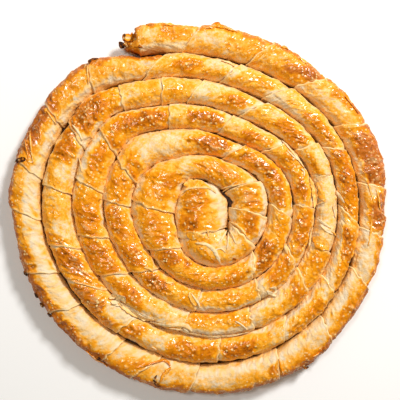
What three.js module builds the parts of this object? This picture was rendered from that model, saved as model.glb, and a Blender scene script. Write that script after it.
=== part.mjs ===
// Coiled spanakopita (strifti): one long rope of filled filo, wound clockwise from a torn free end at the
// back left into a hooked, tucked-in centre, and baked into a single piece. The turns are welded to each
// other low down at their sides, where the dough bakes together, and are free above that, so a groove runs
// between them. Millimetres, +Z up, resting on z = 0.
import * as THREE from "three";

// Driving dimensions. Angles are degrees along the rope, counted clockwise from the free end.
const freeEnd = 112; // where the free end lies, counter-clockwise from +X
const crests = [22.2, 23.4, 24.2, 24.4, 24.6, 26.6]; // height of the rope at the start of each turn
const tuckedCrest = 27; // height of the rope where it ends in the centre
const weldTop = 10; // the sides are upright and baked together between these two heights
const weldBottom = 4.5;
const footShare = 0.66; // width of the flat underside of the rope, as a share of its width
const doming = 2.4; // exponent of the rope's domed upper side
const groove = 1.3; // width of the groove at its bottom
const lip = 0.95; // rise of each filo wrap over the one before it
const lipRun = 0.5; // length of rope over which that rise happens
const tornDepth = 9; // hollow in the torn free end
const tornReach = 12; // how far its lower edge sticks out past the upper one
const tuckedReach = 6.5; // rounding of the rope's other end, in the centre
const longestStep = [6.6, 7.6, 8.4, 9, 9.5, 8]; // longest section of rope in each turn, degrees

// Radius of the outline along the first turn, from the middle of the coil.
const outlineAt = [
  -6, 4, 20, 45, 63, 72, 95, 110, 140, 165, 188, 212, 232, 258, 275, 291, 296, 322, 340, 347, 357,
];
const outline = [
  171.6, 171.6, 163.2, 161.2, 160.2, 162.8, 165, 161.2, 160.6, 162.1, 160.3, 158, 158, 160.2, 163, 165.8,
  169.3, 167.6, 166.8, 163.4, 151.4,
];

// Radius of the groove inside each turn, in nine directions.
const directions = [0, 45, 95, 150, 195, 230, 260, 305, 335];
const grooves = [
  [147, 133.7, 138.6, 136.9, 133.5, 129.4, 132.7, 141.6, 141],
  [125.1, 111.6, 120.4, 117.6, 109.8, 105.5, 106.5, 114.4, 115.4],
  [100.7, 89.4, 99.7, 95.4, 88.8, 83.2, 81.1, 87.3, 88.9],
  [78.2, 68.3, 80.7, 76.9, 67.8, 62, 57.9, 62, 58.6],
  [51.4, 49.7, 59, 55.9, 47.7, 36.5, 25.6, 22.6, 25.4],
  [29.8, 26.4, 29],
];

// In the centre the rope hooks back on itself round a slit: inner edge of the rope as [degrees, x, y] from
// the middle of the coil.
const hook = [
  [1927, 24.4, -5.3], [1942, 23.8, -11.4], [1959, 23.5, -15.8], [1977, 23.1, -18.5], [2000, 22.4, -19.4],
  [2022, 21.8, -18], [2048, 21.8, -14.1], [2076, 22, -5.3], [2111, 21.1, 7.9], [2137, 15.8, 17.6],
];
const ropeEnd = 2137;

// Where each wrap of filo starts: [degrees from the start of the turn at the outer edge, how far the seam
// has swept back at the inner edge, rise as a share of the usual lip].
const wraps = [
  [[22, 7, 1], [45.5, 7, 1], [65.5, 7, 1], [84, 5, 1], [104.5, 3.5, 0.8], [120, 3, 0.6],
    [136.5, 4.5, 1], [157, 4.5, 0.8], [177, 4, 1], [206, 3.5, 0.8], [225.3, 8, 1.5], [236, 3, 0.4],
    [258.5, 4, 1], [273, 4, 0.8], [293.5, 4.5, 1], [308, 4.5, 1.2], [327, 3.5, 1], [345, 5, 1.1]],
  [[9, 11, 1], [37, 7, 0.9], [58, 8, 0.8], [89, 5.5, 1], [117, 8, 1.2], [143.5, 4, 0.9], [170, 6.5, 1],
    [196, 3, 0.8], [237.5, 4, 0.9], [267, 15, 1.1], [280.2, 5, 0.6], [302, 2.5, 0.9], [326, 6, 1.1],
    [349, 4, 0.9]],
  [[6, 4, 0.9], [23.5, 9.5, 1], [53.5, 10.5, 1.1], [81, 2.5, 1], [96.5, 3, -1.3], [130, 3, 1.6],
    [149.5, 7.5, 0.9], [178, 2.5, 0.9], [213, 5, 1.1], [261, 9, 1], [281.5, 5.5, 0.9], [307, 4, 0.9],
    [331.5, 5.5, 1]],
  [[6, 5, 0.9], [40.5, 6.5, 1], [74, 7.5, 1], [110, 3, 0.9], [143, 11, 1.1], [168, 4.5, 0.9],
    [207, 5, 1.3], [252, 14, 1.1], [299.5, 3.5, 0.9], [324.5, 8.5, 1]],
  [[55, 12, 1.1], [116.5, 12, 1], [166, 18, 1.1], [257, 24, 1.1], [302, 12, 1]],
  [[84, 13, 1.2], [116, 9, 1.2], [145, 9, 1], [262, 5, 1.3]],
];

// Crags on the rim: [degrees, how far they stand out].
const crags = [[26.8, 4.2], [169.5, 1.8], [306, 2.6], [343, 1.6]];

// A smooth curve through (at, value) pairs that never overshoots them.
function curveThrough(at, value) {
  const slope = at.slice(1).map((a, i) => (value[i + 1] - value[i]) / (a - at[i]));
  const tangent = at.map((_, i) => {
    if (i === 0) return slope[0];
    if (i === at.length - 1) return slope[i - 1];
    const before = slope[i - 1];
    const after = slope[i];
    return before * after <= 0 ? 0 : (2 * before * after) / (before + after);
  });
  return (x) => {
    let i = 0;
    while (i < at.length - 2 && x > at[i + 1]) i++;
    const span = at[i + 1] - at[i];
    const t = THREE.MathUtils.clamp((x - at[i]) / span, 0, 1);
    const t2 = t * t;
    const t3 = t2 * t;
    return (
      (2 * t3 - 3 * t2 + 1) * value[i] + (t3 - 2 * t2 + t) * span * tangent[i] +
      (3 * t2 - 2 * t3) * value[i + 1] + (t3 - t2) * span * tangent[i + 1]
    );
  };
}

// Outer radius of the rope at u degrees from the free end. One turn later it is the inner radius.
const windingAt = [...outlineAt];
const windingRadius = [...outline];
grooves.forEach((turn, k) =>
  turn.forEach((radius, i) => {
    windingAt.push(360 * (k + 1) + directions[i]);
    windingRadius.push(radius);
  }),
);
const winding = curveThrough(windingAt, windingRadius);

function pointAt(u, radius) {
  const angle = THREE.MathUtils.degToRad(freeEnd - u);
  return new THREE.Vector2(radius * Math.cos(angle), radius * Math.sin(angle));
}

const hookStart = 360 * 5 + 95;
const hookRow = [[hookStart, ...pointAt(hookStart, winding(hookStart + 360)).toArray()], ...hook];
const hookX = curveThrough(hookRow.map((h) => h[0]), hookRow.map((h) => h[1]));
const hookY = curveThrough(hookRow.map((h) => h[0]), hookRow.map((h) => h[2]));

// Inner and outer edge of the rope at u, each drawn back by half of the groove that it borders.
function edges(u) {
  const outer = pointAt(u, winding(u));
  const inner = u < hookStart ? pointAt(u, winding(u + 360)) : new THREE.Vector2(hookX(u), hookY(u));
  const across = outer.clone().sub(inner).normalize().multiplyScalar(groove / 2);
  inner.add(across);
  outer.addScaledVector(across, -THREE.MathUtils.smoothstep(u, 335, 358));
  return { inner, outer };
}

const crestCurve = curveThrough(
  [0, 360, 720, 1080, 1440, 1800, ropeEnd],
  [...crests, tuckedCrest],
);

// Small differences between one wrap and the next, from a seeded draw.
let seed = 7;
function draw() {
  seed = (seed * 16807) % 2147483647;
  return seed / 2147483647 - 0.5;
}

// Stations along the rope: single sections, and pairs of sections either side of each seam.
const seams = wraps.flatMap((turn, k) =>
  turn.map(([at, sweep, rise]) => ({ outer: 360 * k + at, inner: 360 * k + at - sweep, rise })),
);
const stations = [
  { outer: 2.8, inner: 1 },
  ...seams.map((s) => ({ ...s, seam: true })),
  { outer: ropeEnd, inner: ropeEnd },
];
// A section between two stations sweeps back as far as they do on average.
function addBetween(outer, extra) {
  const next = stations.findIndex((s) => s.outer > outer);
  const [a, b] = [stations[next - 1], stations[next]];
  const inner = THREE.MathUtils.mapLinear(outer, a.outer, b.outer, a.inner, b.inner);
  stations.splice(next, 0, { outer, inner, ...extra });
}
crags.forEach(([at, reach]) => {
  addBetween(at - 1.3);
  addBetween(at, { reach });
  addBetween(at + 1.3);
});
addBetween(362, { mouth: true });

// Sections are { outer, inner } in degrees with the wrap they belong to and their place in it from 0 to 1.
const sections = [];
let wrap = { start: 0, rise: 1, shift: 0, lean: 0 };
let open = [];
const closeWrap = (end) => {
  open.forEach((s) => (s.along = (s.outer - wrap.start) / Math.max(end - wrap.start, 1)));
  open = [];
};
const addSection = (outer, inner, extra) => {
  const s = { outer, inner, wrap, ...extra };
  sections.push(s);
  open.push(s);
};
stations.forEach((s, n) => {
  if (n > 0) {
    const last = sections[sections.length - 1];
    const turn = Math.min(Math.floor(s.outer / 360.5), 5);
    const count = Math.ceil((s.outer - last.outer) / longestStep[turn] - 0.15);
    for (let i = 1; i < count; i++)
      addSection(
        THREE.MathUtils.lerp(last.outer, s.outer, i / count),
        THREE.MathUtils.lerp(last.inner, s.inner, i / count),
      );
  }
  if (s.seam) {
    const { outer } = edges(s.outer);
    const half = THREE.MathUtils.radToDeg(lipRun / 2 / Math.max(outer.length(), 25));
    addSection(s.outer - half, s.inner - half);
    closeWrap(s.outer);
    wrap = { start: s.outer, rise: s.rise, shift: 0.5 * draw(), lean: 0.22 * draw() };
    addSection(s.outer + half, s.inner + half);
  } else addSection(s.outer, s.inner, { reach: s.reach, mouth: s.mouth });
});
closeWrap(ropeEnd);

// The rope's section, from the inner side of its foot up, over the crest and down to the outer side of its
// foot: q runs from -1 at the inner edge to 1 at the outer edge.
const domeStops = [0.9, 0.56];
const dome = (q) => Math.pow(1 - Math.pow(Math.abs(q), doming), 1 / doming);
const profile = [
  { q: -footShare, z: 0 },
  { q: -1, z: weldBottom },
  { q: -1, z: weldTop },
  ...domeStops.map((q) => ({ q: -q, dome: dome(q) })),
  { q: 0, dome: 1 },
  ...domeStops.map((q) => ({ q, dome: dome(q) })).reverse(),
  { q: 1, z: weldTop },
  { q: 1, z: weldBottom },
  { q: footShare, z: 0 },
];
const last = profile.length - 1;
const innerWeld = 2;
const outerWeld = last - 2;

const vertices = [];
const vertex = (x, y, z) => vertices.push(x, y, z) / 3 - 1;

// A section's point: the seam sweeps back towards the inner edge, faster as it gets there.
function sectionPoint(s, p) {
  const in01 = (1 - p.q) / 2;
  const u = s.outer + (s.inner - s.outer) * (0.8 * in01 + 0.2 * in01 * in01);
  const { inner, outer } = edges(u);
  const domed = p.dome ?? 0;
  const q = p.q + (domed > 0.7 ? s.wrap.lean * (1 - p.q * p.q) : 0);
  const at = inner.lerp(outer, (q + 1) / 2);
  if (s.reach && p.q > 0.8 && !(p.z < weldTop))
    at.addScaledVector(at.clone().normalize(), s.reach * (p.dome ? 0.7 : 1));
  if (p.dome === undefined) return new THREE.Vector3(at.x, at.y, p.z);
  const swell = 0.35 * Math.sin(u / 3.1) * Math.sin(u / 7.3 + 1);
  const lift = lip * s.wrap.rise * (1 - s.along) + s.wrap.shift * Math.sin(Math.PI * Math.min(s.along, 1));
  return new THREE.Vector3(at.x, at.y, weldTop + (crestCurve(u) - weldTop + swell + lift) * domed);
}

const rings = sections.map((s) => profile.map((p) => {
  const at = sectionPoint(s, p);
  return vertex(at.x, at.y, at.z);
}));

// The rope's rounded end in the centre, drawn in from its last section.
const endEdges = edges(ropeEnd);
const endMiddle = endEdges.inner.clone().lerp(endEdges.outer, 0.5);
const endHalf = endEdges.outer.clone().sub(endEdges.inner).multiplyScalar(0.5);
const endForward = new THREE.Vector2(-endHalf.y, endHalf.x).normalize().multiplyScalar(-tuckedReach);
for (const turnIn of [32, 58, 78]) {
  const angle = THREE.MathUtils.degToRad(turnIn);
  const narrow = Math.cos(angle);
  rings.push(profile.map((p) => {
    const at = endMiddle.clone().addScaledVector(endForward, Math.sin(angle) * (p.z === 0 ? 0.6 : 1));
    at.addScaledVector(endHalf, p.q * narrow);
    const top = (tuckedCrest + lip * 0.3 - weldTop) * Math.pow(narrow, 0.55);
    return vertex(at.x, at.y, p.dome === undefined ? p.z : weldTop + top * p.dome);
  }));
}

const faces = [];
const triangle = (a, b, c) => faces.push(a, c, b);
const quad = (a, b, c, d) => {
  triangle(a, b, c);
  triangle(a, c, d);
};

// Skin of the rope. Where turns are welded to each other, their upright sides are left out.
const mouth = sections.findIndex((s) => s.mouth);
for (let i = 0; i + 1 < rings.length; i++)
  for (let j = 0; j <= last; j++) {
    const next = (j + 1) % (last + 1);
    if (j === innerWeld - 1 || (j === outerWeld && i >= mouth)) continue;
    quad(rings[i][j], rings[i][next], rings[i + 1][next], rings[i + 1][j]);
  }

// The rounded end is closed above and below the weld.
const tip = rings[rings.length - 1];
for (let j = innerWeld + 1; j < outerWeld; j++) triangle(tip[innerWeld], tip[j], tip[j + 1]);
triangle(tip[0], tip[innerWeld - 1], tip[outerWeld + 1]);
triangle(tip[0], tip[outerWeld + 1], tip[last]);

// The groove's floor is a strip between the turn outside it and the turn inside it, from the groove's
// mouth at the free end to the end of the slit that the rope hooks round. The underside has the same.
const pivotSection = sections.findIndex((s) => s.outer > 1985);
const outsideRings = rings.slice(0, pivotSection + 1);
function grooveFloor(inColumn, outColumn, upwards) {
  const outside = outsideRings.map((r) => r[inColumn]);
  const inside = [
    ...rings.slice(mouth).map((r) => r[outColumn]),
    ...rings.slice(pivotSection).map((r) => r[inColumn]).reverse(),
  ];
  const at = (v) => new THREE.Vector2(vertices[3 * v], vertices[3 * v + 1]);
  const turnOf = (bank) => {
    // Winding angle of each point of a bank round the middle of the coil.
    let angle = 0;
    return bank.map((v, i) => {
      const p = at(v);
      if (i) {
        const before = at(bank[i - 1]);
        angle += Math.atan2(before.y * p.x - before.x * p.y, before.dot(p));
      }
      return angle;
    });
  };
  const outsideTurn = turnOf(outside);
  const insideTurn = turnOf(inside);
  let i = 0;
  let j = 0;
  while (i < outside.length - 1 || j < inside.length - 1) {
    let stepOutside = j === inside.length - 1;
    if (!stepOutside && i < outside.length - 1) {
      const far = at(inside[j]).length() < 40 && outsideTurn[i] > 20;
      stepOutside = far
        ? at(outside[i + 1]).distanceTo(at(inside[j])) < at(outside[i]).distanceTo(at(inside[j + 1]))
        : outsideTurn[i + 1] < insideTurn[j + 1];
    }
    const a = outside[i];
    const b = inside[j];
    const c = stepOutside ? outside[++i] : inside[++j];
    if (a !== b && b !== c && c !== a) (upwards ? triangle(a, c, b) : triangle(a, b, c));
  }
}
grooveFloor(innerWeld, outerWeld, true);
grooveFloor(innerWeld - 1, outerWeld + 1, false);

// The groove's mouth is closed by a narrow wall at the height of the weld.
quad(rings[0][innerWeld], rings[mouth][outerWeld], rings[mouth][outerWeld + 1], rings[0][innerWeld - 1]);

// The torn free end: a ragged edge that reaches out furthest low down, then a hollow behind it.
const start = sections[0];
function tornRing(size, middleQ, middleZ, back) {
  return profile.map((p, j) => {
    const z = p.dome === undefined ? p.z : weldTop + (crests[0] - weldTop) * p.dome;
    const q = middleQ + (p.q - middleQ) * size;
    const height = middleZ + (z - middleZ) * size;
    const { inner, outer } = edges(start.outer + (start.inner - start.outer) * (1 - q) / 2);
    const at = inner.lerp(outer, (q + 1) / 2);
    const along = new THREE.Vector2(-at.y, at.x).normalize();
    const jut = tornReach * (1.1 - height / crests[0]) * (1 - 0.75 * Math.pow(Math.abs(q + 0.1), 1.6));
    at.addScaledVector(along, jut - back + 0.9 * Math.sin(j * 2.4 + 1));
    return vertex(at.x, at.y, height);
  });
}
const edgeRing = tornRing(0.86, -0.1, 9, -1);
const hollowRing = tornRing(0.55, 0, 12.5, tornDepth);
const hollowMiddle = vertex(
  ...hollowRing.reduce((sum, v) => sum.map((s, k) => s + vertices[3 * v + k] / hollowRing.length), [0, 0, 0]),
);
for (let j = 0; j <= last; j++) {
  const next = (j + 1) % (last + 1);
  quad(rings[0][next], rings[0][j], edgeRing[j], edgeRing[next]);
  quad(edgeRing[next], edgeRing[j], hollowRing[j], hollowRing[next]);
  triangle(hollowRing[next], hollowRing[j], hollowMiddle);
}

const geometry = new THREE.BufferGeometry();
geometry.setAttribute("position", new THREE.Float32BufferAttribute(vertices, 3));
geometry.setIndex(faces);
// The origin is the middle of the coil's outer bounds, on the underside.
geometry.computeBoundingBox();
const { min, max } = geometry.boundingBox;
geometry.translate(-(min.x + max.x) / 2, -(min.y + max.y) / 2, -min.z);
geometry.computeVertexNormals();

const coil = new THREE.Mesh(
  geometry,
  new THREE.MeshStandardMaterial({ color: 0xdc9a3c, roughness: 0.42, metalness: 0 }),
);
coil.name = "filo_coil";

const group = new THREE.Group();
group.name = "spanakopita_pie";
group.add(coil);

export default group;
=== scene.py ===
import math
from types import SimpleNamespace
import numpy as np
import bpy
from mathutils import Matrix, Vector


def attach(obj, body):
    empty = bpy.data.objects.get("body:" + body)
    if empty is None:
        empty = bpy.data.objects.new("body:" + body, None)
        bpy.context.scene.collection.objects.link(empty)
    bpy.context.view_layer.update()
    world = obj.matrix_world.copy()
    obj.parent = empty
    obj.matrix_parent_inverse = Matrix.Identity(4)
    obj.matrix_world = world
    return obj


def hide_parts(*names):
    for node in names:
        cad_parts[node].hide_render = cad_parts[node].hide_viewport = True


# Coiled spanakopita: a rope of filo wound into a flat coil and baked. Millimetres in the formulas below,
# turned to metres when a mesh is made.
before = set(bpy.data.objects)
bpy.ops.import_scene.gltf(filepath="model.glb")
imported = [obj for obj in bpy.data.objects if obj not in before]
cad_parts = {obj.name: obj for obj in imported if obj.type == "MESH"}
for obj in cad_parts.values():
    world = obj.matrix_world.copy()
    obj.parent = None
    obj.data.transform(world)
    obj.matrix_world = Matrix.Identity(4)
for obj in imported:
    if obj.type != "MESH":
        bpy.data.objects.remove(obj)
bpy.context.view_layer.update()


def smoothCurve(at, value):
    # Cubic through (at, value) pairs. The slope at each is the harmonic mean of the slopes beside it, or
    # none where they disagree, so the curve never overshoots.
    at, value = np.asarray(at, float), np.asarray(value, float)
    slope = np.diff(value) / np.diff(at)
    same = slope[:-1] * slope[1:] > 0
    mean = np.where(same, 2 * slope[:-1] * slope[1:] / np.where(same, slope[:-1] + slope[1:], 1), 0)
    tangent = np.concatenate([slope[:1], mean, slope[-1:]])

    def curve(x):
        x = np.asarray(x, float)
        i = np.clip(np.searchsorted(at, x, side="left") - 1, 0, len(at) - 2)
        span = at[i + 1] - at[i]
        t = np.clip((x - at[i]) / span, 0, 1)
        return ((2 * t**3 - 3 * t**2 + 1) * value[i] + (t**3 - 2 * t**2 + t) * span * tangent[i]
                + (3 * t**2 - 2 * t**3) * value[i + 1] + (t**3 - t**2) * span * tangent[i + 1])

    return curve


def smooth(low, high, x):
    # Rises from 0 at low to 1 at high with level ends.
    t = np.clip((x - low) / (high - low), 0, 1)
    return t * t * (3 - 2 * t)


def hill(x, middle, width):
    # 1 at the middle, falling like a bell curve.
    return np.exp(-(((x - middle) / width) ** 2))


def bowed(three, t):
    # The parabola through three numbers, at t = 1, 0 and -1.
    left, middle, right = three
    return middle + (left - right) / 2 * t + ((left + right) / 2 - middle) * t**2


def onLine(x):
    # Points in a row, for a noise that follows a single number.
    return np.stack([x, 0 * x, 0 * x], -1)


def scramble(cell, seed):
    # A repeatable number from 0 to 1 for each whole-number cell: large primes stir its bits, and what runs
    # over 64 bits is dropped.
    n = (cell[..., 0] * 73856093) ^ (cell[..., 1] * 19349663) ^ (cell[..., 2] * 83492791) ^ (seed * 2654435)
    with np.errstate(over="ignore"):
        n = (n ^ (n >> 13)) * 1274126177 & 0x7FFFFFFF
    return ((n ^ (n >> 16)) & 0xFFFF) / 65535.0


def noise(points, size, seed=0):
    # Gradient noise, about -1 to 1, with bumps of the given size in mm: each lattice corner has a random
    # slope, and the eight round a point are blended with a quintic fade. Each use has a seed of its own.
    p = points / size
    base = np.floor(p).astype(np.int64)
    f = p - base
    w = f**3 * (f * (f * 6 - 15) + 10)
    total = 0.0
    for corner in range(8):
        step = np.array([corner & 1, corner >> 1 & 1, corner >> 2 & 1])
        cell = base + step
        d = f - step
        slope = [scramble(cell, seed * 3 + k) * 2 - 1 for k in range(3)]
        weight = np.prod(np.where(step, w, 1 - w), axis=-1)
        total = total + weight * sum(slope[k] * d[..., k] for k in range(3))
    return total * 1.6  # brings its usual range to about -1 to 1


def bubbles(points, size, seed=0):
    # Scattered dots: distance in mm to the nearest of one random point per cell, and that point's own
    # random number, by looking through the 27 cells round each place.
    p = points / size
    base = np.floor(p).astype(np.int64)
    nearest = np.full(p.shape[:-1], 9.0)  # in cells, further than any dot can be
    own = np.zeros(p.shape[:-1])
    for i in range(27):
        cell = base + np.array([i % 3 - 1, i // 3 % 3 - 1, i // 9 - 1])
        dot = cell + np.stack([scramble(cell, seed + k) for k in range(3)], -1)
        d = np.linalg.norm(p - dot, axis=-1)
        own = np.where(d < nearest, scramble(cell, seed + 5), own)
        nearest = np.minimum(nearest, d)
    return nearest * size, own


# The rope's course. Places along it are degrees clockwise from the free end, so a turn is 360.
coil = {
    "middle": (3.42, -3.63),  # middle of the winding in the part's frame
    "freeEnd": 112,  # degrees, counter-clockwise from +X
    "crests": [22.2, 23.4, 24.2, 24.4, 24.6, 26.6, 27],  # height at the start of each turn and at the end
    "weld": (4.5, 9.5),  # the sides are upright between these heights
    "foot": 0.66,  # flat underside as a share of the width
    "doming": 2.25,  # exponent of the domed upper side
    "halfWidth": 11,  # of the rope, for lengths round it
    "domeHeight": 14,  # of the domed upper side, for lengths round it
    "firstGap": 1.9,  # width of the outermost groove
    "gap": 0.65,  # width of the others
    "uneven": 0.6,  # how much a groove's width changes, as a share of it
    "gapLimits": (0.15, 2.4),
    "domeColumns": 58,
    "sideColumns": 5,
    "footColumns": 6,
}
# Radius of the outline along the first turn.
outlineAt = [-6, 4, 20, 45, 63, 72, 95, 110, 140, 165, 188, 212, 232, 258, 275, 291, 296, 322, 340, 347, 357]
outline = [171.6, 171.6, 163.2, 161.2, 160.2, 162.8, 165, 161.2, 160.6, 162.1, 160.3, 158, 158, 160.2, 163,
           165.8, 169.3, 167.6, 166.8, 163.4, 151.4]
# Radius of the groove inside each turn, in nine directions.
directions = [0, 45, 95, 150, 195, 230, 260, 305, 335]
grooves = [
    [147, 133.7, 138.6, 136.9, 133.5, 129.4, 132.7, 141.6, 141],
    [125.1, 111.6, 120.4, 117.6, 109.8, 105.5, 106.5, 114.4, 115.4],
    [100.7, 89.4, 99.7, 95.4, 88.8, 83.2, 81.1, 87.3, 88.9],
    [78.2, 68.3, 80.7, 76.9, 67.8, 62, 57.9, 62, 58.6],
    [51.4, 49.7, 59, 55.9, 47.7, 36.5, 25.6, 22.6, 25.4],
    [29.8, 26.4, 29],
]
# Inner edge of the rope where it hooks round the slit in the centre: degrees, x, y from the middle.
hook = [(1909, 24.9, 3), (1927, 23.9, -4.3), (1942, 23.5, -11.4), (1959, 23.5, -15.8), (1977, 23.1, -18.5),
        (2000, 22.4, -19.4), (2022, 22, -18), (2048, 22.2, -14.1), (2076, 22.8, -5.3), (2111, 21.4, 7.9),
        (2137, 15.8, 17.6)]
hookStart, ropeEnd = 1895, 2137

windingAt, windingRadius = list(outlineAt), list(outline)
for k, turn in enumerate(grooves):
    windingAt += [360 * (k + 1) + d for d in directions[: len(turn)]]
    windingRadius += turn
winding = smoothCurve(windingAt, windingRadius)
crest = smoothCurve([0, 360, 720, 1080, 1440, 1800, ropeEnd], coil["crests"])


def around(u, radius):
    # Point at u degrees clockwise from the free end.
    angle = np.radians(coil["freeEnd"] - u)
    return np.stack([radius * np.cos(angle), radius * np.sin(angle)], -1)


hookAt = [hookStart] + [h[0] for h in hook]
hookFirst = around(np.array(float(hookStart)), winding(hookStart + 360))
hookX = smoothCurve(hookAt, [hookFirst[0]] + [h[1] for h in hook])
hookY = smoothCurve(hookAt, [hookFirst[1]] + [h[2] for h in hook])


def grooveLine(u):
    # Middle of the groove on the inner side of the rope: the winding one turn on, then the hook.
    hooked = np.stack([hookX(u), hookY(u)], -1)
    return np.where((u < hookStart)[..., None], around(u, winding(u + 360)), hooked)


def grooveWidth(u):
    # Width of the groove on the inner side of the rope at u: widest in the first turn, uneven everywhere,
    # and closed before the free end.
    wide = coil["gap"] + (coil["firstGap"] - coil["gap"]) * (1 - smooth(300, 380, u))
    change = noise(onLine(u), 17, 9) + 0.6 * noise(onLine(u), 5, 8)
    return np.clip(wide * (1 + coil["uneven"] * change), *coil["gapLimits"]) * smooth(-25, 0, u)


def edges(u):
    # Inner and outer edge of the rope, with half of each groove taken from either side.
    outer = around(u, winding(u))
    inner = grooveLine(u)
    across = outer - inner
    across = across / np.linalg.norm(across, axis=-1, keepdims=True)
    inner = inner + across * (grooveWidth(u) / 2)[..., None]
    outer = outer - across * (grooveWidth(u - 360) / 2 * smooth(335, 358, u))[..., None]
    return inner, outer


def ropeProfile():
    # Once round the rope's section: q from -1 at the inner edge to 1 at the outer one, share of the dome's
    # height, height in mm for the sides and the foot, and length in mm from the crest. The dome is a
    # superellipse, cut at equal lengths, and quarter ellipses join the sides to the flat foot.
    low, top = coil["weld"]
    wide, high, sides = coil["halfWidth"], coil["domeHeight"], coil["sideColumns"]
    angle = np.linspace(0, math.pi, 4000)  # fine enough to measure its length
    power = 2 / coil["doming"]
    x = -np.sign(np.cos(angle)) * np.abs(np.cos(angle)) ** power
    y = np.abs(np.sin(angle)) ** power
    length = np.concatenate([[0], np.cumsum(np.hypot(np.diff(x) * wide, np.diff(y) * high))])
    at = np.linspace(0, length[-1], coil["domeColumns"])
    domeQ, domeZ = np.interp(at, length, x), np.interp(at, length, y)
    bend = np.linspace(0, math.pi / 2, sides + 1)[1:]
    sideZ = np.linspace(top, low, sides + 1)[1:]
    footQ = coil["foot"] + (1 - coil["foot"]) * np.cos(bend)
    footZ = low * (1 - np.sin(bend))
    flatQ = np.linspace(coil["foot"], -coil["foot"], coil["footColumns"] + 2)[1:-1]
    q = np.concatenate([domeQ, np.ones(sides), footQ, flatQ, -footQ[::-1], -np.ones(sides)])
    dome = np.concatenate([domeZ, np.zeros(len(q) - len(domeQ))])
    z = np.concatenate([np.full(len(domeQ), top), sideZ, footZ, flatQ * 0, footZ[::-1], sideZ[::-1]])
    step = np.hypot(np.diff(q) * wide, np.diff(dome) * high + np.diff(z))
    return q, dome, z, np.concatenate([[0], np.cumsum(step)]) - length[-1] / 2


profileQ, profileDome, profileZ, profileAround = ropeProfile()
columns = len(profileQ)
print("rope section of", columns, "points")

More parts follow.
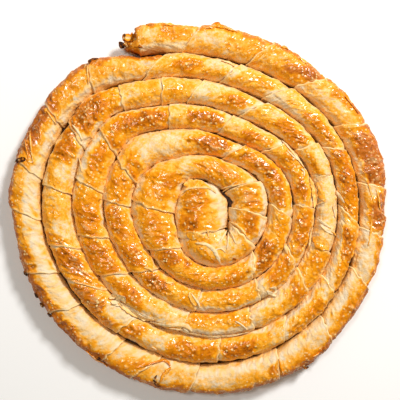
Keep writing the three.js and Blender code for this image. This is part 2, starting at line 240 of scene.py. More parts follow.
# The wraps of filo, turn by turn. Each wrap: degrees from the start of its turn at the outer edge; how far
# its seam has swept back at the inner edge; rise; tone of its egg wash, 0 pale to 1 deep brown; where the
# wash ends across the rope (q at the inner side by the lip and by the next seam, q at the outer side; in the
# first turn the last is the tone of the roasted rim instead); mm left bare before the next seam; and its
# patches, each as share of the length, q, their half sizes and the tone in the middle.
wraps = [
    [
        (2.8, 1.9, 0.6, 0.3, (-0.4, -0.4, 0.5), 2,
         [(0.3, 0.3, 0.12, 0.5, 0.14), (0.65, 0.3, 0.25, 0.4, 0.5)]),
        (22, 7, 1, 0.24, (-1, -0.95, 0.55), 0.5,
         [(0.3, 0.2, 0.3, 0.5, 0.1), (0.75, 0.3, 0.25, 0.6, 0.38), (0.9, 0.9, 0.3, 0.3, 0.6)]),
        (45.5, 7, 1, 0.32, (-0.9, -0.9, 0.65), 0.5,
         [(0.55, 0, 0.15, 0.3, 0.55), (0.82, 0.3, 0.25, 0.6, 0.78)]),
        (65.5, 7, 1, 0.25, (-0.7, -0.7, 0.6), 1, [(0.4, 0, 0.25, 0.3, 0.08), (0.6, 0.75, 0.4, 0.35, 0.5)]),
        (84, 5, 1, 0.36, (-0.8, -0.6, 0.9), 1, [(0.68, 0.3, 0.5, 0.95, 0.92)]),
        (104.5, 3.5, 0.8, 0.34, (-0.7, -0.6, 0.8), 1,
         [(0.55, 0.3, 0.35, 0.6, 0.85), (0.1, -0.2, 0.15, 0.5, 0.1)]),
        (120, 3, 0.6, 0.16, (-0.1, 0.1, 0.6), 2, [(0.15, 0.6, 0.15, 0.3, 0.45), (0.6, 0, 0.3, 0.4, 0.06)]),
        (136.5, 4.5, 1, 0.24, (-0.4, -0.25, 0.8), 1.5,
         [(0.1, 0.5, 0.12, 0.4, 0.45), (0.55, 0.5, 0.4, 0.45, 0.52)]),
        (157, 4.5, 0.8, 0.24, (-0.3, -0.3, 0.8), 1, [(0.45, 0.6, 0.45, 0.42, 0.6), (0.2, 0, 0.2, 0.4, 0.1)]),
        (177, 4, 1, 0.24, (-0.35, -0.2, 0.75), 1,
         [(0.05, 0.4, 0.08, 0.7, 0.65), (0.4, 0.45, 0.3, 0.3, 0.36), (0.7, 0.1, 0.2, 0.4, 0.1)]),
        (206, 3.5, 0.8, 0.24, (-0.6, -0.5, 0.75), 0.5,
         [(0.25, 0.65, 0.4, 0.35, 0.62), (0.6, 0.3, 0.2, 0.4, 0.12)]),
        (225.3, 8, 1.5, 0.36, (-0.8, -0.6, 0.85), 0.5,
         [(0.5, 0.2, 0.3, 0.4, 0.55), (0.8, -0.1, 0.15, 0.4, 0.15)]),
        (236, 3, 0.4, 0.26, (-0.1, 0.05, 0.9), 1, [(0.5, 0.7, 0.6, 0.42, 0.8), (0.3, 0.1, 0.3, 0.3, 0.3)]),
        (258.5, 4, 1, 0.26, (0, 0.1, 0.85), 2, [(0.06, 0.3, 0.08, 0.6, 0.58), (0.5, 0.7, 0.6, 0.4, 0.76)]),
        (273, 4, 0.8, 0.28, (-0.05, 0.1, 0.75), 1.5,
         [(0.25, 0.6, 0.25, 0.4, 0.85), (0.7, 0.5, 0.3, 0.3, 0.38)]),
        (293.5, 4.5, 1, 0.26, (-0.1, -0.05, 0.7), 1,
         [(0.5, 0.85, 0.6, 0.35, 0.72), (0.4, 0.25, 0.2, 0.3, 0.36)]),
        (308, 4.5, 1.2, 0.34, (-0.3, -0.4, 0.85), 1.5,
         [(0.55, 0.55, 0.4, 0.5, 0.9), (0.1, 0.1, 0.1, 0.4, 0.4)]),
        (327, 3.5, 1, 0.34, (-0.45, -0.5, 0.8), 1,
         [(0.15, 0.5, 0.15, 0.5, 0.65), (0.6, 0.3, 0.3, 0.5, 0.45), (0.8, 0.8, 0.2, 0.3, 0.65)]),
        (345, 5, 1.1, 0.26, (-0.55, -0.6, 0.75), 1,
         [(0.15, 0.8, 0.15, 0.4, 0.65), (0.4, -0.1, 0.25, 0.3, 0.38), (0.8, 0.5, 0.2, 0.4, 0.1)]),
    ],
    [
        (9, 11, 1, 0.24, (-0.8, -0.8, 0.85), 3,
         [(0.42, 0, 0.2, 0.45, 0.62), (0.75, 0.4, 0.15, 0.5, 0.1), (0.85, -0.4, 0.2, 0.3, 0.36)]),
        (37, 7, 0.9, 0.27, (-0.6, -0.8, 0.85), 4,
         [(0.06, 0.3, 0.1, 0.6, 0.1), (0.3, 0.1, 0.15, 0.4, 0.36), (0.62, 0, 0.22, 0.45, 0.45)]),
        (58, 8, 0.8, 0.3, (-0.1, -0.7, 0.85), 2, [(0.12, 0.3, 0.12, 0.5, 0.2), (0.7, 0, 0.28, 0.4, 0.64)]),
        (89, 5.5, 1, 0.4, (-0.5, -0.75, 0.95), 1,
         [(0.15, 0.1, 0.15, 0.5, 0.72), (0.5, 0.15, 0.25, 0.6, 0.78), (0.85, 0.2, 0.15, 0.4, 0.6)]),
        (117, 8, 1.2, 0.3, (-0.5, -0.2, 0.9), 3,
         [(0.42, 0.2, 0.22, 0.6, 0.78), (0.75, 0.4, 0.2, 0.4, 0.45), (0.95, -0.2, 0.1, 0.6, 0.1)]),
        (143.5, 4, 0.9, 0.3, (-0.7, -0.5, 0.85), 5,
         [(0.35, 0.25, 0.2, 0.5, 0.58), (0.7, 0.35, 0.2, 0.4, 0.55), (0.15, 0, 0.08, 0.4, 0.1)]),
        (170, 6.5, 1, 0.3, (-0.7, -0.8, 0.9), 1,
         [(0.12, 0, 0.12, 0.6, 0.2), (0.4, 0.1, 0.12, 0.4, 0.36), (0.72, 0.05, 0.22, 0.6, 0.76)]),
        (196, 3, 0.8, 0.3, (-0.8, -0.7, 0.85), 0.5,
         [(0.16, 0.1, 0.12, 0.6, 0.68), (0.4, 0.15, 0.12, 0.7, 0.66), (0.65, 0.1, 0.15, 0.6, 0.16),
          (0.9, 0.15, 0.08, 0.5, 0.68)]),
        (237.5, 4, 0.9, 0.26, (-0.1, -0.8, 0.9), 1,
         [(0.3, 0.55, 0.2, 0.3, 0.72), (0.72, 0.25, 0.25, 0.5, 0.82), (0.3, -0.3, 0.25, 0.35, 0.08)]),
        (267, 15, 1.1, 0.4, (-0.9, -0.8, 0.95), 1, [(0.6, 0, 0.4, 0.6, 0.82), (0.2, -0.5, 0.15, 0.4, 0.45)]),
        (280.2, 5, 0.6, 0.26, (-0.9, -0.8, 0.9), 0.3,
         [(0.12, 0.4, 0.1, 0.4, 0.6), (0.5, 0.2, 0.2, 0.5, 0.38), (0.35, -0.3, 0.12, 0.6, 0.1)]),
        (302, 2.5, 0.9, 0.27, (-0.85, -0.6, 0.8), 1.5,
         [(0.75, 0.2, 0.28, 0.7, 0.76), (0.3, 0.3, 0.2, 0.5, 0.36), (0.35, -0.2, 0.15, 0.5, 0.1)]),
        (326, 6, 1.1, 0.42, (-0.5, -0.8, 0.95), 1,
         [(0.38, 0.15, 0.35, 0.8, 0.88), (0.85, 0.2, 0.12, 0.5, 0.42), (0.1, -0.4, 0.08, 0.4, 0.1)]),
        (349, 4, 0.9, 0.26, (-0.8, -0.85, 0.9), 0.5, [(0.2, 0.1, 0.2, 0.5, 0.2), (0.7, 0.1, 0.2, 0.5, 0.34)]),
    ],
    [
        (6, 4, 0.9, 0.27, (-0.8, -0.8, 0.85), 1, [(0.5, -0.1, 0.3, 0.4, 0.38)]),
        (23.5, 9.5, 1, 0.24, (-0.5, -0.8, 0.85), 5,
         [(0.2, 0.1, 0.22, 0.8, 0.08), (0.66, -0.1, 0.25, 0.5, 0.64)]),
        (53.5, 10.5, 1.1, 0.31, (-0.6, -0.8, 0.75), 1.5,
         [(0.3, 0.2, 0.12, 0.4, 0.14), (0.52, 0, 0.15, 0.5, 0.58), (0.78, -0.1, 0.18, 0.5, 0.68)]),
        (81, 2.5, 1, 0.22, (-0.8, -0.8, 0.9), 0.3, [(0.6, -0.3, 0.4, 0.2, 0.5), (0.5, 0.4, 0.4, 0.3, 0.1)]),
        (96.5, 3, -1.3, 0.1, (-0.95, -0.95, 0.95), 0.5, []),
        (130, 3, 1.6, 0.36, (-0.6, -0.75, 0.85), 2, [(0.35, 0.15, 0.3, 0.5, 0.52)]),
        (149.5, 7.5, 0.9, 0.28, (-0.8, -0.5, 0.8), 3,
         [(0.18, 0.2, 0.15, 0.6, 0.66), (0.55, -0.4, 0.12, 0.5, 0.1), (0.55, 0.35, 0.25, 0.4, 0.38),
          (0.9, 0.1, 0.1, 0.6, 0.12)]),
        (178, 2.5, 0.9, 0.3, (-0.9, -0.9, 0.3), 0.5,
         [(0.12, 0.1, 0.1, 0.5, 0.55), (0.35, -0.4, 0.3, 0.4, 0.4), (0.8, -0.4, 0.15, 0.4, 0.5)]),
        (213, 5, 1.1, 0.27, (-0.6, -0.8, 0.7), 2, [(0.3, 0, 0.25, 0.6, 0.12), (0.72, 0.05, 0.25, 0.5, 0.64)]),
        (261, 9, 1, 0.4, (-0.8, -0.85, 0.8), 1, [(0.5, 0.1, 0.45, 0.6, 0.72)]),
        (281.5, 5.5, 0.9, 0.36, (-0.7, -0.8, 0.8), 1,
         [(0.4, 0.1, 0.35, 0.5, 0.7), (0.8, 0.2, 0.2, 0.4, 0.42)]),
        (307, 4, 0.9, 0.38, (-0.8, -0.85, 0.5), 1,
         [(0.6, -0.05, 0.35, 0.4, 0.64), (0.15, 0, 0.15, 0.5, 0.45)]),
        (331.5, 5.5, 1, 0.4, (-0.75, -0.85, 0.72), 1,
         [(0.3, -0.1, 0.2, 0.4, 0.58), (0.62, 0.05, 0.3, 0.5, 0.82)]),
    ],
    [
        (6, 5, 0.9, 0.28, (-0.8, -0.8, 0.8), 2, [(0.2, 0.1, 0.2, 0.5, 0.2), (0.72, 0, 0.28, 0.5, 0.86)]),
        (40.5, 6.5, 1, 0.26, (-0.7, -0.85, 0.8), 4,
         [(0.2, 0.2, 0.15, 0.5, 0.16), (0.62, -0.1, 0.25, 0.4, 0.68)]),
        (74, 7.5, 1, 0.32, (-0.7, -0.7, 0.75), 1.5,
         [(0.28, 0.1, 0.15, 0.4, 0.52), (0.72, -0.1, 0.16, 0.35, 0.88)]),
        (110, 3, 0.9, 0.36, (-0.7, -0.7, 0.8), 2, [(0.45, 0.15, 0.4, 0.5, 0.72)]),
        (143, 11, 1.1, 0.3, (-0.7, -0.8, 0.8), 7, [(0.42, 0, 0.3, 0.5, 0.66)]),
        (168, 4.5, 0.9, 0.33, (-0.8, -0.75, 0.45), 2, [(0.35, 0, 0.35, 0.5, 0.42)]),
        (207, 5, 1.3, 0.36, (-0.8, -0.85, 0.75), 1,
         [(0.12, 0.1, 0.12, 0.5, 0.45), (0.72, 0, 0.22, 0.5, 0.82)]),
        (252, 14, 1.1, 0.38, (-0.75, -0.85, 0.8), 1,
         [(0.28, 0, 0.18, 0.5, 0.72), (0.72, 0.1, 0.25, 0.5, 0.7)]),
        (299.5, 3.5, 0.9, 0.36, (-0.75, -0.8, 0.75), 1, [(0.45, 0, 0.35, 0.5, 0.52)]),
        (324.5, 8.5, 1, 0.22, (-0.85, -0.85, 0.9), 4,
         [(0.08, -0.2, 0.06, 0.5, 0.72), (0.35, 0.1, 0.2, 0.6, 0.1), (0.78, 0.05, 0.16, 0.6, 0.88)]),
    ],
    [
        (55, 12, 1.1, 0.38, (-0.7, -0.75, 0.85), 2,
         [(0.18, 0.1, 0.15, 0.5, 0.62), (0.5, 0.1, 0.22, 0.4, 0.8), (0.82, -0.1, 0.15, 0.4, 0.7)]),
        (116.5, 12, 1, 0.36, (-0.6, -0.8, 0.75), 3, [(0.25, 0.1, 0.2, 0.4, 0.5), (0.74, 0, 0.2, 0.6, 0.88)]),
        (166, 18, 1.1, 0.33, (-0.8, -0.85, 0.8), 1,
         [(0.03, 0, 0.05, 0.8, 0.08), (0.16, 0.1, 0.1, 0.4, 0.66), (0.5, 0.1, 0.2, 0.4, 0.45),
          (0.88, -0.1, 0.12, 0.6, 0.86)]),
        (257, 24, 1.1, 0.36, (-0.8, -0.8, 0.75), 1, [(0.42, 0.1, 0.35, 0.4, 0.62)]),
        (302, 12, 1, 0.33, (-0.7, -0.8, 0.85), 2,
         [(0.18, 0, 0.12, 0.5, 0.52), (0.34, -0.3, 0.1, 0.3, 0.66), (0.5, 0.1, 0.1, 0.6, 0.12),
          (0.74, 0.1, 0.2, 0.5, 0.55)]),
    ],
    [
        (84, 13, 1.2, 0.36, (-0.9, -0.85, 0.7), 1, [(0.55, 0.1, 0.35, 0.4, 0.62)]),
        (116, 9, 1.2, 0.36, (-0.7, -0.6, 0.6), 1, [(0.45, 0.2, 0.4, 0.45, 0.72)]),
        (145, 9, 1, 0.17, (-0.5, -0.9, 0.85), 2,
         [(0.12, 0.45, 0.1, 0.3, 0.34), (0.5, 0.3, 0.2, 0.4, 0.26), (0.88, 0.3, 0.12, 0.5, 0.36)]),
        (243, -6, 1.3, 0.34, (-0.55, -0.4, 0.8), 0,
         [(0.35, 0.5, 0.3, 0.4, 0.7), (0.7, 0.1, 0.22, 0.45, 0.62)]),
    ],
]
seams = [(360 * k + w[0], 360 * k + w[0] - w[1], *w[2:]) for k, turn in enumerate(wraps) for w in turn]
torn = {  # the free end
    "reach": 13,  # how far its layers jut out, in mm, by their place across the rope: the bottom ones, and
    "across": [-1, -0.63, -0.47, -0.1, 0.5, 0.78, 1],
    "share": [0, 0.64, 0.98, 0.95, 0.9, 0.6, 0.05],
    "wallAcross": [-1, -0.63, -0.47, -0.25, -0.1, 0, 1],  # the wall of the inner side
    "wallShare": [0, 0.64, 0.98, 0.95, 0.25, 0.05, 0],
    "curl": 5,  # how far the bottom ones bend up
    "sink": 6,  # how far the wall comes down towards its tip
    "below": (17.5, 12),  # heights between which the layers go from cut back to jutting out
    "fray": (0.4, 0.12, 1.5),  # mm by which the rim is ragged, more for each mm it juts out, and how strongly
    "tears": (5, 2.2),  # mm from one tear to the next, large and small
    "depth": 9,  # of the hollow
    "core": 9.0,  # height of the place that the hollow shrinks towards
    "rows": (16, 8),  # from the bottom of the hollow to its rim, and from there back onto the rope
    "past": 0.3,  # all of them count as this far past the first lip, in mm
}
tucked = {  # the rounded end in the centre
    "reach": 8.5,
    "angles": (5, 87),  # where its quarter circle starts and ends, in degrees
    "rows": 15,
    "foot": 0.6,  # how far its underside comes forward, as a share of the reach, and
    "footHeight": 4,  # the height from which it comes forward all the way
    "blunt": 0.3,  # exponent of its fall in height: the smaller, the blunter
}
sheets = {  # how the wraps lie on each other
    "lip": 0.65,  # rise of a wrap over the one before it
    "overlap": 3.0,  # length of each wrap that is hidden under the next
    "overlapRows": 5,
    "row": 0.6,  # length of a mesh row along the rope
    "leastRadius": 12,  # of the rope's course, for lengths along it
    "top": (8, 15),  # heights between which the domed upper side begins
    "edgeRows": [-0.3, -0.1, 0.12],  # mm past the lip: the rows of its rounded edge
    "firstRow": 0.45,  # and the first row behind them
    "wander": (9, 0.55, 5),  # turning points of the lip's line, their size in mm, and mm until they die out
    "waist": ((0.01, 2.5), (0.03, 4), 0.025),  # share drawn in at the lip and at its end, over so many mm;
    # and the share by which a wrap is wider where it starts
    "tail": 0.07,  # how much smaller the hidden tail gets
}


def ropePoints(outerU, innerU, nudge=0):
    # Rows of rope: each runs from outerU at the outer edge back to innerU at the inner one, faster as it gets
    # there, and each of its points lies between the rope's edges at its own place along the rope.
    inward = (1 - profileQ) / 2
    u = outerU[:, None] + (innerU - outerU)[:, None] * (0.8 * inward + 0.2 * inward**2) + nudge
    inner, outer = edges(u)
    at = inner + (outer - inner) * ((profileQ + 1) / 2)[:, None]
    z = profileZ + (crest(u) - profileZ) * profileDome
    return np.concatenate([at, z[..., None]], -1)


def tornRows():
    # Rows of the open free end, from the bottom of its hollow out to the ragged rim and back onto the rope.
    # The first section shrinks towards a point low in the mouth, and its lower part juts out.
    hollowRows, rimRows = torn["rows"]
    wall, rim = np.linspace(0, 1, hollowRows)[:, None], np.linspace(0, 1, rimRows + 1)[:-1, None]
    size = np.concatenate([0.06 + 0.8 * wall**0.6, 1 - 0.12 * (1 - rim) ** 2])  # of the section
    back = np.concatenate([torn["depth"] * (1 - wall**1.6), -0.6 * np.sin(math.pi * rim)])  # mm into the rope
    share = np.concatenate([0.35 + 0.65 * wall**2, 1 - rim**1.5])  # of the jut
    inside = np.concatenate([1 - 0.5 * wall**4, 0.5 * (1 - rim) ** 2])  # 1 at the bottom, 0 on the rope
    outerU, innerU = (np.array([float(u)]) for u in seams[0][:2])
    section = ropePoints(outerU, innerU)[0]
    core = np.array([*section[:, :2].mean(0), torn["core"]])
    at = core + (section - core) * size[..., None]
    further = ropePoints(outerU + 8.0, innerU + 8.0)[0]  # 8 degrees on, to see which way the rope runs
    forward = core[:2] - further[:, :2].mean(0)
    forward = forward / np.linalg.norm(forward)
    low = smooth(*torn["below"], section[:, 2])
    bottom = smoothCurve(torn["across"], torn["share"])(profileQ)
    side = smoothCurve(torn["wallAcross"], torn["wallShare"])(profileQ)
    jut = torn["reach"] * (bottom * low + side * (1 - low))
    line, (large, small), (fray, frayMore, strength) = onLine(profileAround), torn["tears"], torn["fray"]
    tears = noise(line, large, 31) + 0.8 * noise(line, small, 32)
    jut = jut + (fray + frayMore * np.abs(jut)) * tears * strength
    at[..., :2] += forward * (jut * share - back)[..., None]
    out = np.clip(jut / torn["reach"], 0, 1)
    at[..., 2] += (torn["curl"] * low - torn["sink"] * (1 - low)) * out * share**2
    return at, inside[:, 0]


def tuckedRows():
    # Rows of the rounded end in the centre: the last section narrows as a quarter circle and moves forward.
    angle = np.radians(np.linspace(*tucked["angles"], tucked["rows"]))[:, None]
    inner, outer = edges(np.array(float(ropeEnd)))
    middle, half = (inner + outer) / 2, (outer - inner) / 2
    forward = np.array([half[1], -half[0]]) / np.linalg.norm(half) * tucked["reach"]
    reaches = tucked["foot"] + (1 - tucked["foot"]) * np.minimum(profileZ / tucked["footHeight"], 1)
    at = middle + half * (profileQ * np.cos(angle))[..., None]
    at = at + forward * (np.sin(angle) * reaches)[..., None]
    z = profileZ + (coil["crests"][-1] - profileZ) * profileDome * np.cos(angle) ** tucked["blunt"]
    return np.concatenate([at, z[..., None]], -1)


def wrapGrid(k):
    # One wrap as rows along the rope by columns round it. A row is "past" mm from the wrap's lip and
    # "ahead" mm from the next seam. The lip line is uneven, and the last rows lie under the next wrap.
    start, chance = seams[k], np.random.default_rng(100 + k)
    last = k == len(seams) - 1
    end = (ropeEnd, ropeEnd) if last else seams[k + 1][:2]
    bothEnds = np.mean(edges(np.array([start[0], end[0]])), 0)
    radius = max(np.linalg.norm(bothEnds, axis=-1).mean(), sheets["leastRadius"])
    length = math.radians(end[0] - start[0]) * radius
    past = np.linspace(sheets["firstRow"], length, int(length / sheets["row"]) + 2)
    if k:
        past = np.concatenate([sheets["edgeRows"], past])
    if not last:
        hidden = np.linspace(0, sheets["overlap"], sheets["overlapRows"] + 1)[1:]
        past = np.concatenate([past, length + hidden])
    share, ahead = past / length, length - past
    turning, size, fades = sheets["wander"]
    wander = smoothCurve(np.linspace(-1, 1, turning), chance.normal(0, size, turning))(profileQ) * (k > 0)
    nudge = np.degrees(wander / radius) * np.exp(-np.maximum(past, 0)[:, None] / fades)
    base = ropePoints(start[0] + (end[0] - start[0]) * share, start[1] + (end[1] - start[1]) * share, nudge)
    centre = base.mean(1, keepdims=True)
    (atLip, lipRun), (atEnd, endRun), flare = sheets["waist"]
    waist = atLip * hill(past, 0, lipRun) * (k > 0) + atEnd * hill(ahead, 0, endRun) * (not last)
    waist = waist - flare * (1 - np.clip(share, 0, 1)) * (k > 0)  # a wrap is widest where it starts
    base[..., :2] += ((centre - base) * waist[:, None, None])[..., :2]
    tail = np.clip(-ahead / sheets["overlap"], 0, 1)
    base += (centre - base) * sheets["tail"] * tail[:, None, None] * (not last)
    rows = dict(past=past, ahead=ahead, share=share, tail=tail, inside=0 * past)
    if k == 0:  # the rows of the mouth come before the others
        mouth, inside = tornRows()
        base = np.concatenate([mouth, base])
        mouthRows = dict(past=torn["past"], ahead=length, share=0.0, tail=0.0, inside=inside)
        rows = {key: np.concatenate([np.broadcast_to(mouthRows[key], len(mouth)), values])
                for key, values in rows.items()}
    if last:  # and those of the rounded end after them
        rounded = tuckedRows()
        base = np.concatenate([base, rounded])
        past = np.concatenate([past, past[-1] + sheets["row"] * np.arange(1, len(rounded) + 1)])
        none, far = np.zeros(len(past)), 99.0  # no seam lies ahead
        rows = dict(past=past, ahead=none + far, share=past / past[-1], tail=none, inside=none)
    alongRope = np.gradient(base, axis=0)
    roundRope = np.roll(base, -1, 1) - np.roll(base, 1, 1)
    normal = np.cross(roundRope, alongRope)
    normal /= np.linalg.norm(normal, axis=-1, keepdims=True) + 1e-9
    middle = len(base) // 2
    if (normal[middle] * (base[middle] - base[middle].mean(0))).sum() < 0:
        normal = -normal
    rows = {key: np.repeat(v[:, None], columns, 1) for key, v in rows.items()}
    return SimpleNamespace(k=k, outermost=start[0] < 360, last=last, base=base, normal=normal, chance=chance,
                           **rows)


bumps = {  # mm from one bump to the next
    "swell": 22,
    "sway": 9,
    "ripple": 5,
    "patch": 11,
    "blotch": 5.5,
    "washEdge": 3.2,
    "speckle": 3.4,
    "papery": 3,
    "wrinkle": 4.6,
    "wrinkled": 15,  # places with wrinkles
    "crease": 5.2,
    "crinkle": 6.6,
    "smallCrinkle": 3.1,
    "crinkled": 13,  # places with stronger crinkles
    "paper": 2.1,
    "blister": 7.0,
    "mouth": 4,
}


def unrollSheet(g):
    # Each point's place on the unrolled sheet: mm along the rope, mm round it from the crest, and a number
    # that keeps the wraps' patterns apart. Then the noises that relief and browning both follow.
    run = np.linalg.norm(np.diff(g.base, axis=0), axis=-1).cumsum(0)
    run = np.concatenate([0 * run[:1], run])
    g.flat = np.stack([run, profileAround[None, :] + 0 * g.past, np.full_like(g.past, 53.0 * g.k)], -1)
    g.q, g.z = profileQ[None, :], g.base[..., 2]
    g.top = smooth(*sheets["top"], g.z)
    g.swell, g.sway = noise(g.base, bumps["swell"], 1), noise(g.base, bumps["sway"], 2)
    g.ripple = noise(g.base, bumps["ripple"], 6)
    g.patchy = 0.65 * noise(g.flat, bumps["patch"], 3) + 0.6 * noise(g.flat, bumps["blotch"], 4)


eggWash = {
    "fade": (-1.4, 2.4),  # the wash comes on from here to there, in mm inside its edge
    "stray": (2.6, 2.2, 2, 1.5),  # mm by which noise moves its tip, inner side and outer side, and all finely
    "tip": (1.2, 0.3, 3),  # mm it reaches into the bare strip; most that it lies aside, in q; most bluntness
    "bluntAcross": 0.8,  # q from the tip's middle at which it lies back by its bluntness
    "settles": 0.7,  # share of the wrap's length at which its inner side has come to where it ends
    "further": 0.08,  # how much further in it reaches on the inner turns, in q
    "overTheRim": 1.4,  # q of its outer side in the outermost turn
    "sides": (5, 9),  # heights between which it comes on
    "foldedOver": 0.1,  # q by which its inner side moves in along a wrap whose edge is folded over
    "ragged": (0.07, 0.22, 0.2),  # how far a patch's outline strays along the wrap, across it and in depth
    "patch": (0.02, 0.6),  # height of the bell at which a patch starts and is full
    "tones": (0.1, 0.8),  # palest and deepest
    "blotches": (0.14, 0.06, 0.11),  # change of tone by patches, ripples and speckles
    "dough": (0.06, 0.04),  # tone of dough that no wash reached, in the outermost turn and in the others
    "doughBlotches": (0.1, 0.12),  # its change by patches and by papery streaks
    "doughSides": (0.15, 22, 12),  # how much browner its sides are, a painted warm shade, from one height down to the other
    "doughHollows": (0.2, -0.1, 0.5),  # and its hollows, a painted warm shade, from one depth to the other
    "roasting": ((0.3, 0.85), 0.25, (1, 7)),  # q between which the rim's roast starts, its stray, and heights
    "speckledRim": 0.35,  # change of tone of the roasted rim
}


def washSheet(g):
    # Where the egg wash lies, 0 to 1, and how brown the sheet is, 0 to 1. The wash covers the crest and ends
    # in a rounded tip short of the next seam: it comes on with the distance inside the nearest of its edges.
    # Its patches are bells of tone, broken up by noise.
    _, _, _, tone, (washLip, washEnd, washOut), bare, patches = seams[g.k]
    strayTip, strayIn, strayOut, strayAll = eggWash["stray"]
    before, aside, bluntest = eggWash["tip"]
    washIn = washLip + (washEnd - washLip) * np.clip(g.share / eggWash["settles"], 0, 1)
    washIn = washIn - (0 if g.outermost else eggWash["further"])
    tipQ, blunt = g.chance.uniform(-aside, aside), g.chance.uniform(0, bluntest)
    atTip = g.ahead + before - bare - blunt * ((g.q - tipQ) / eggWash["bluntAcross"]) ** 2
    atTip = atTip + strayTip * g.ripple
    atIn = (g.q - washIn) * coil["halfWidth"] + strayIn * g.sway
    outerQ = eggWash["overTheRim"] if g.outermost else washOut
    atOut = (outerQ - g.q) * coil["halfWidth"] + strayOut * g.sway
    within = np.minimum(np.minimum(atTip, atIn), atOut) + strayAll * noise(g.flat, bumps["washEdge"], 16)
    wash = smooth(*eggWash["fade"], within) * smooth(*eggWash["sides"], g.z)

    spread = np.full_like(g.past, tone)
    strayLong, strayWide, strayDeep = eggWash["ragged"]
    for at, across, long, wide, depth in patches:
        alongIt = (g.share - at + strayLong * g.patchy) / long
        acrossIt = (g.q - across + strayWide * g.patchy) / wide
        bell = np.exp(-(alongIt**2) - acrossIt**2)
        spread += (depth - spread) * smooth(*eggWash["patch"], bell + strayDeep * g.patchy)
    large, middling, small = eggWash["blotches"]
    spread += (large * g.patchy * smooth(0.2, 0.6, spread) + middling * g.ripple
               + small * noise(g.flat, bumps["speckle"], 5))
    g.roast = 0 * g.z
    if g.outermost:  # the rim roasts right down its outer side
        overQ, stray, overZ = eggWash["roasting"]
        g.roast = smooth(*overQ, g.q + stray * g.sway) * smooth(*overZ, g.z)
        spread = np.maximum(spread, (washOut + eggWash["speckledRim"] * g.patchy) * g.roast)
        wash = np.maximum(wash, g.roast)
    papery = noise(g.flat * [1, 0.5, 1] + g.sway[..., None] * [2, 2, 0], bumps["papery"], 19)
    large, small = eggWash["doughBlotches"]
    dough = eggWash["dough"][0 if g.outermost else 1] + large * g.patchy + small * papery
    # bare dough browner lower down its sides: painted warm shade
    browner, high, low = eggWash["doughSides"]
    dough = dough + browner * smooth(high, low, g.z)
    g.brown = np.clip(spread, *eggWash["tones"]) * wash + (1 - wash) * np.maximum(dough, 0)
    g.wash, g.spread, g.washIn = wash, spread, washIn
    g.overfolded = washLip - washEnd > eggWash["foldedOver"]


relief = {  # heights in mm
    "lumps": (0.9, 1.0),  # of the swells and the sways
    "folds": 0.5,  # of slanting wrinkles
    "slant": (-50, 40),  # degrees between which a wrap's wrinkles run
    "creases": 0.5,  # of creases that run along the rope
    "crinkles": 1.35,  # of the glazed sheet's crinkles
    "papery": (0.26, 0.06),  # of the finest wrinkles on bare dough, and how much less under the wash
    "blisters": 0.45,  # of the larger bubbles in the sheet
    "overfold": 0.45,  # step where a wrap's edge runs on along the inner side
    "lean": 0.25,  # most by which a wrap bulges or sags in its middle
    "lipEdge": (0.55, 0.4, -0.3),  # by which the lip's edge is rounded off, from here to there, in mm past it
    "lipRoll": (0.4, 0.7, 0.8),  # of the roll behind it, its place and its width
    "tail": 0.9,  # by which the hidden tail lies lower
    "seam": ((0.12, 0.9), (0.3, 5)),  # depth and width of the crack at the next seam and of the gutter there
    "sides": (3, 12),  # heights between which the lean, the lip, the tail and the seam come on
    "foot": 2,  # height below which all relief fades, so that the foot stays flat
    "mouth": (1.5, 0.8),  # of the lumps and crinkles inside the free end
}


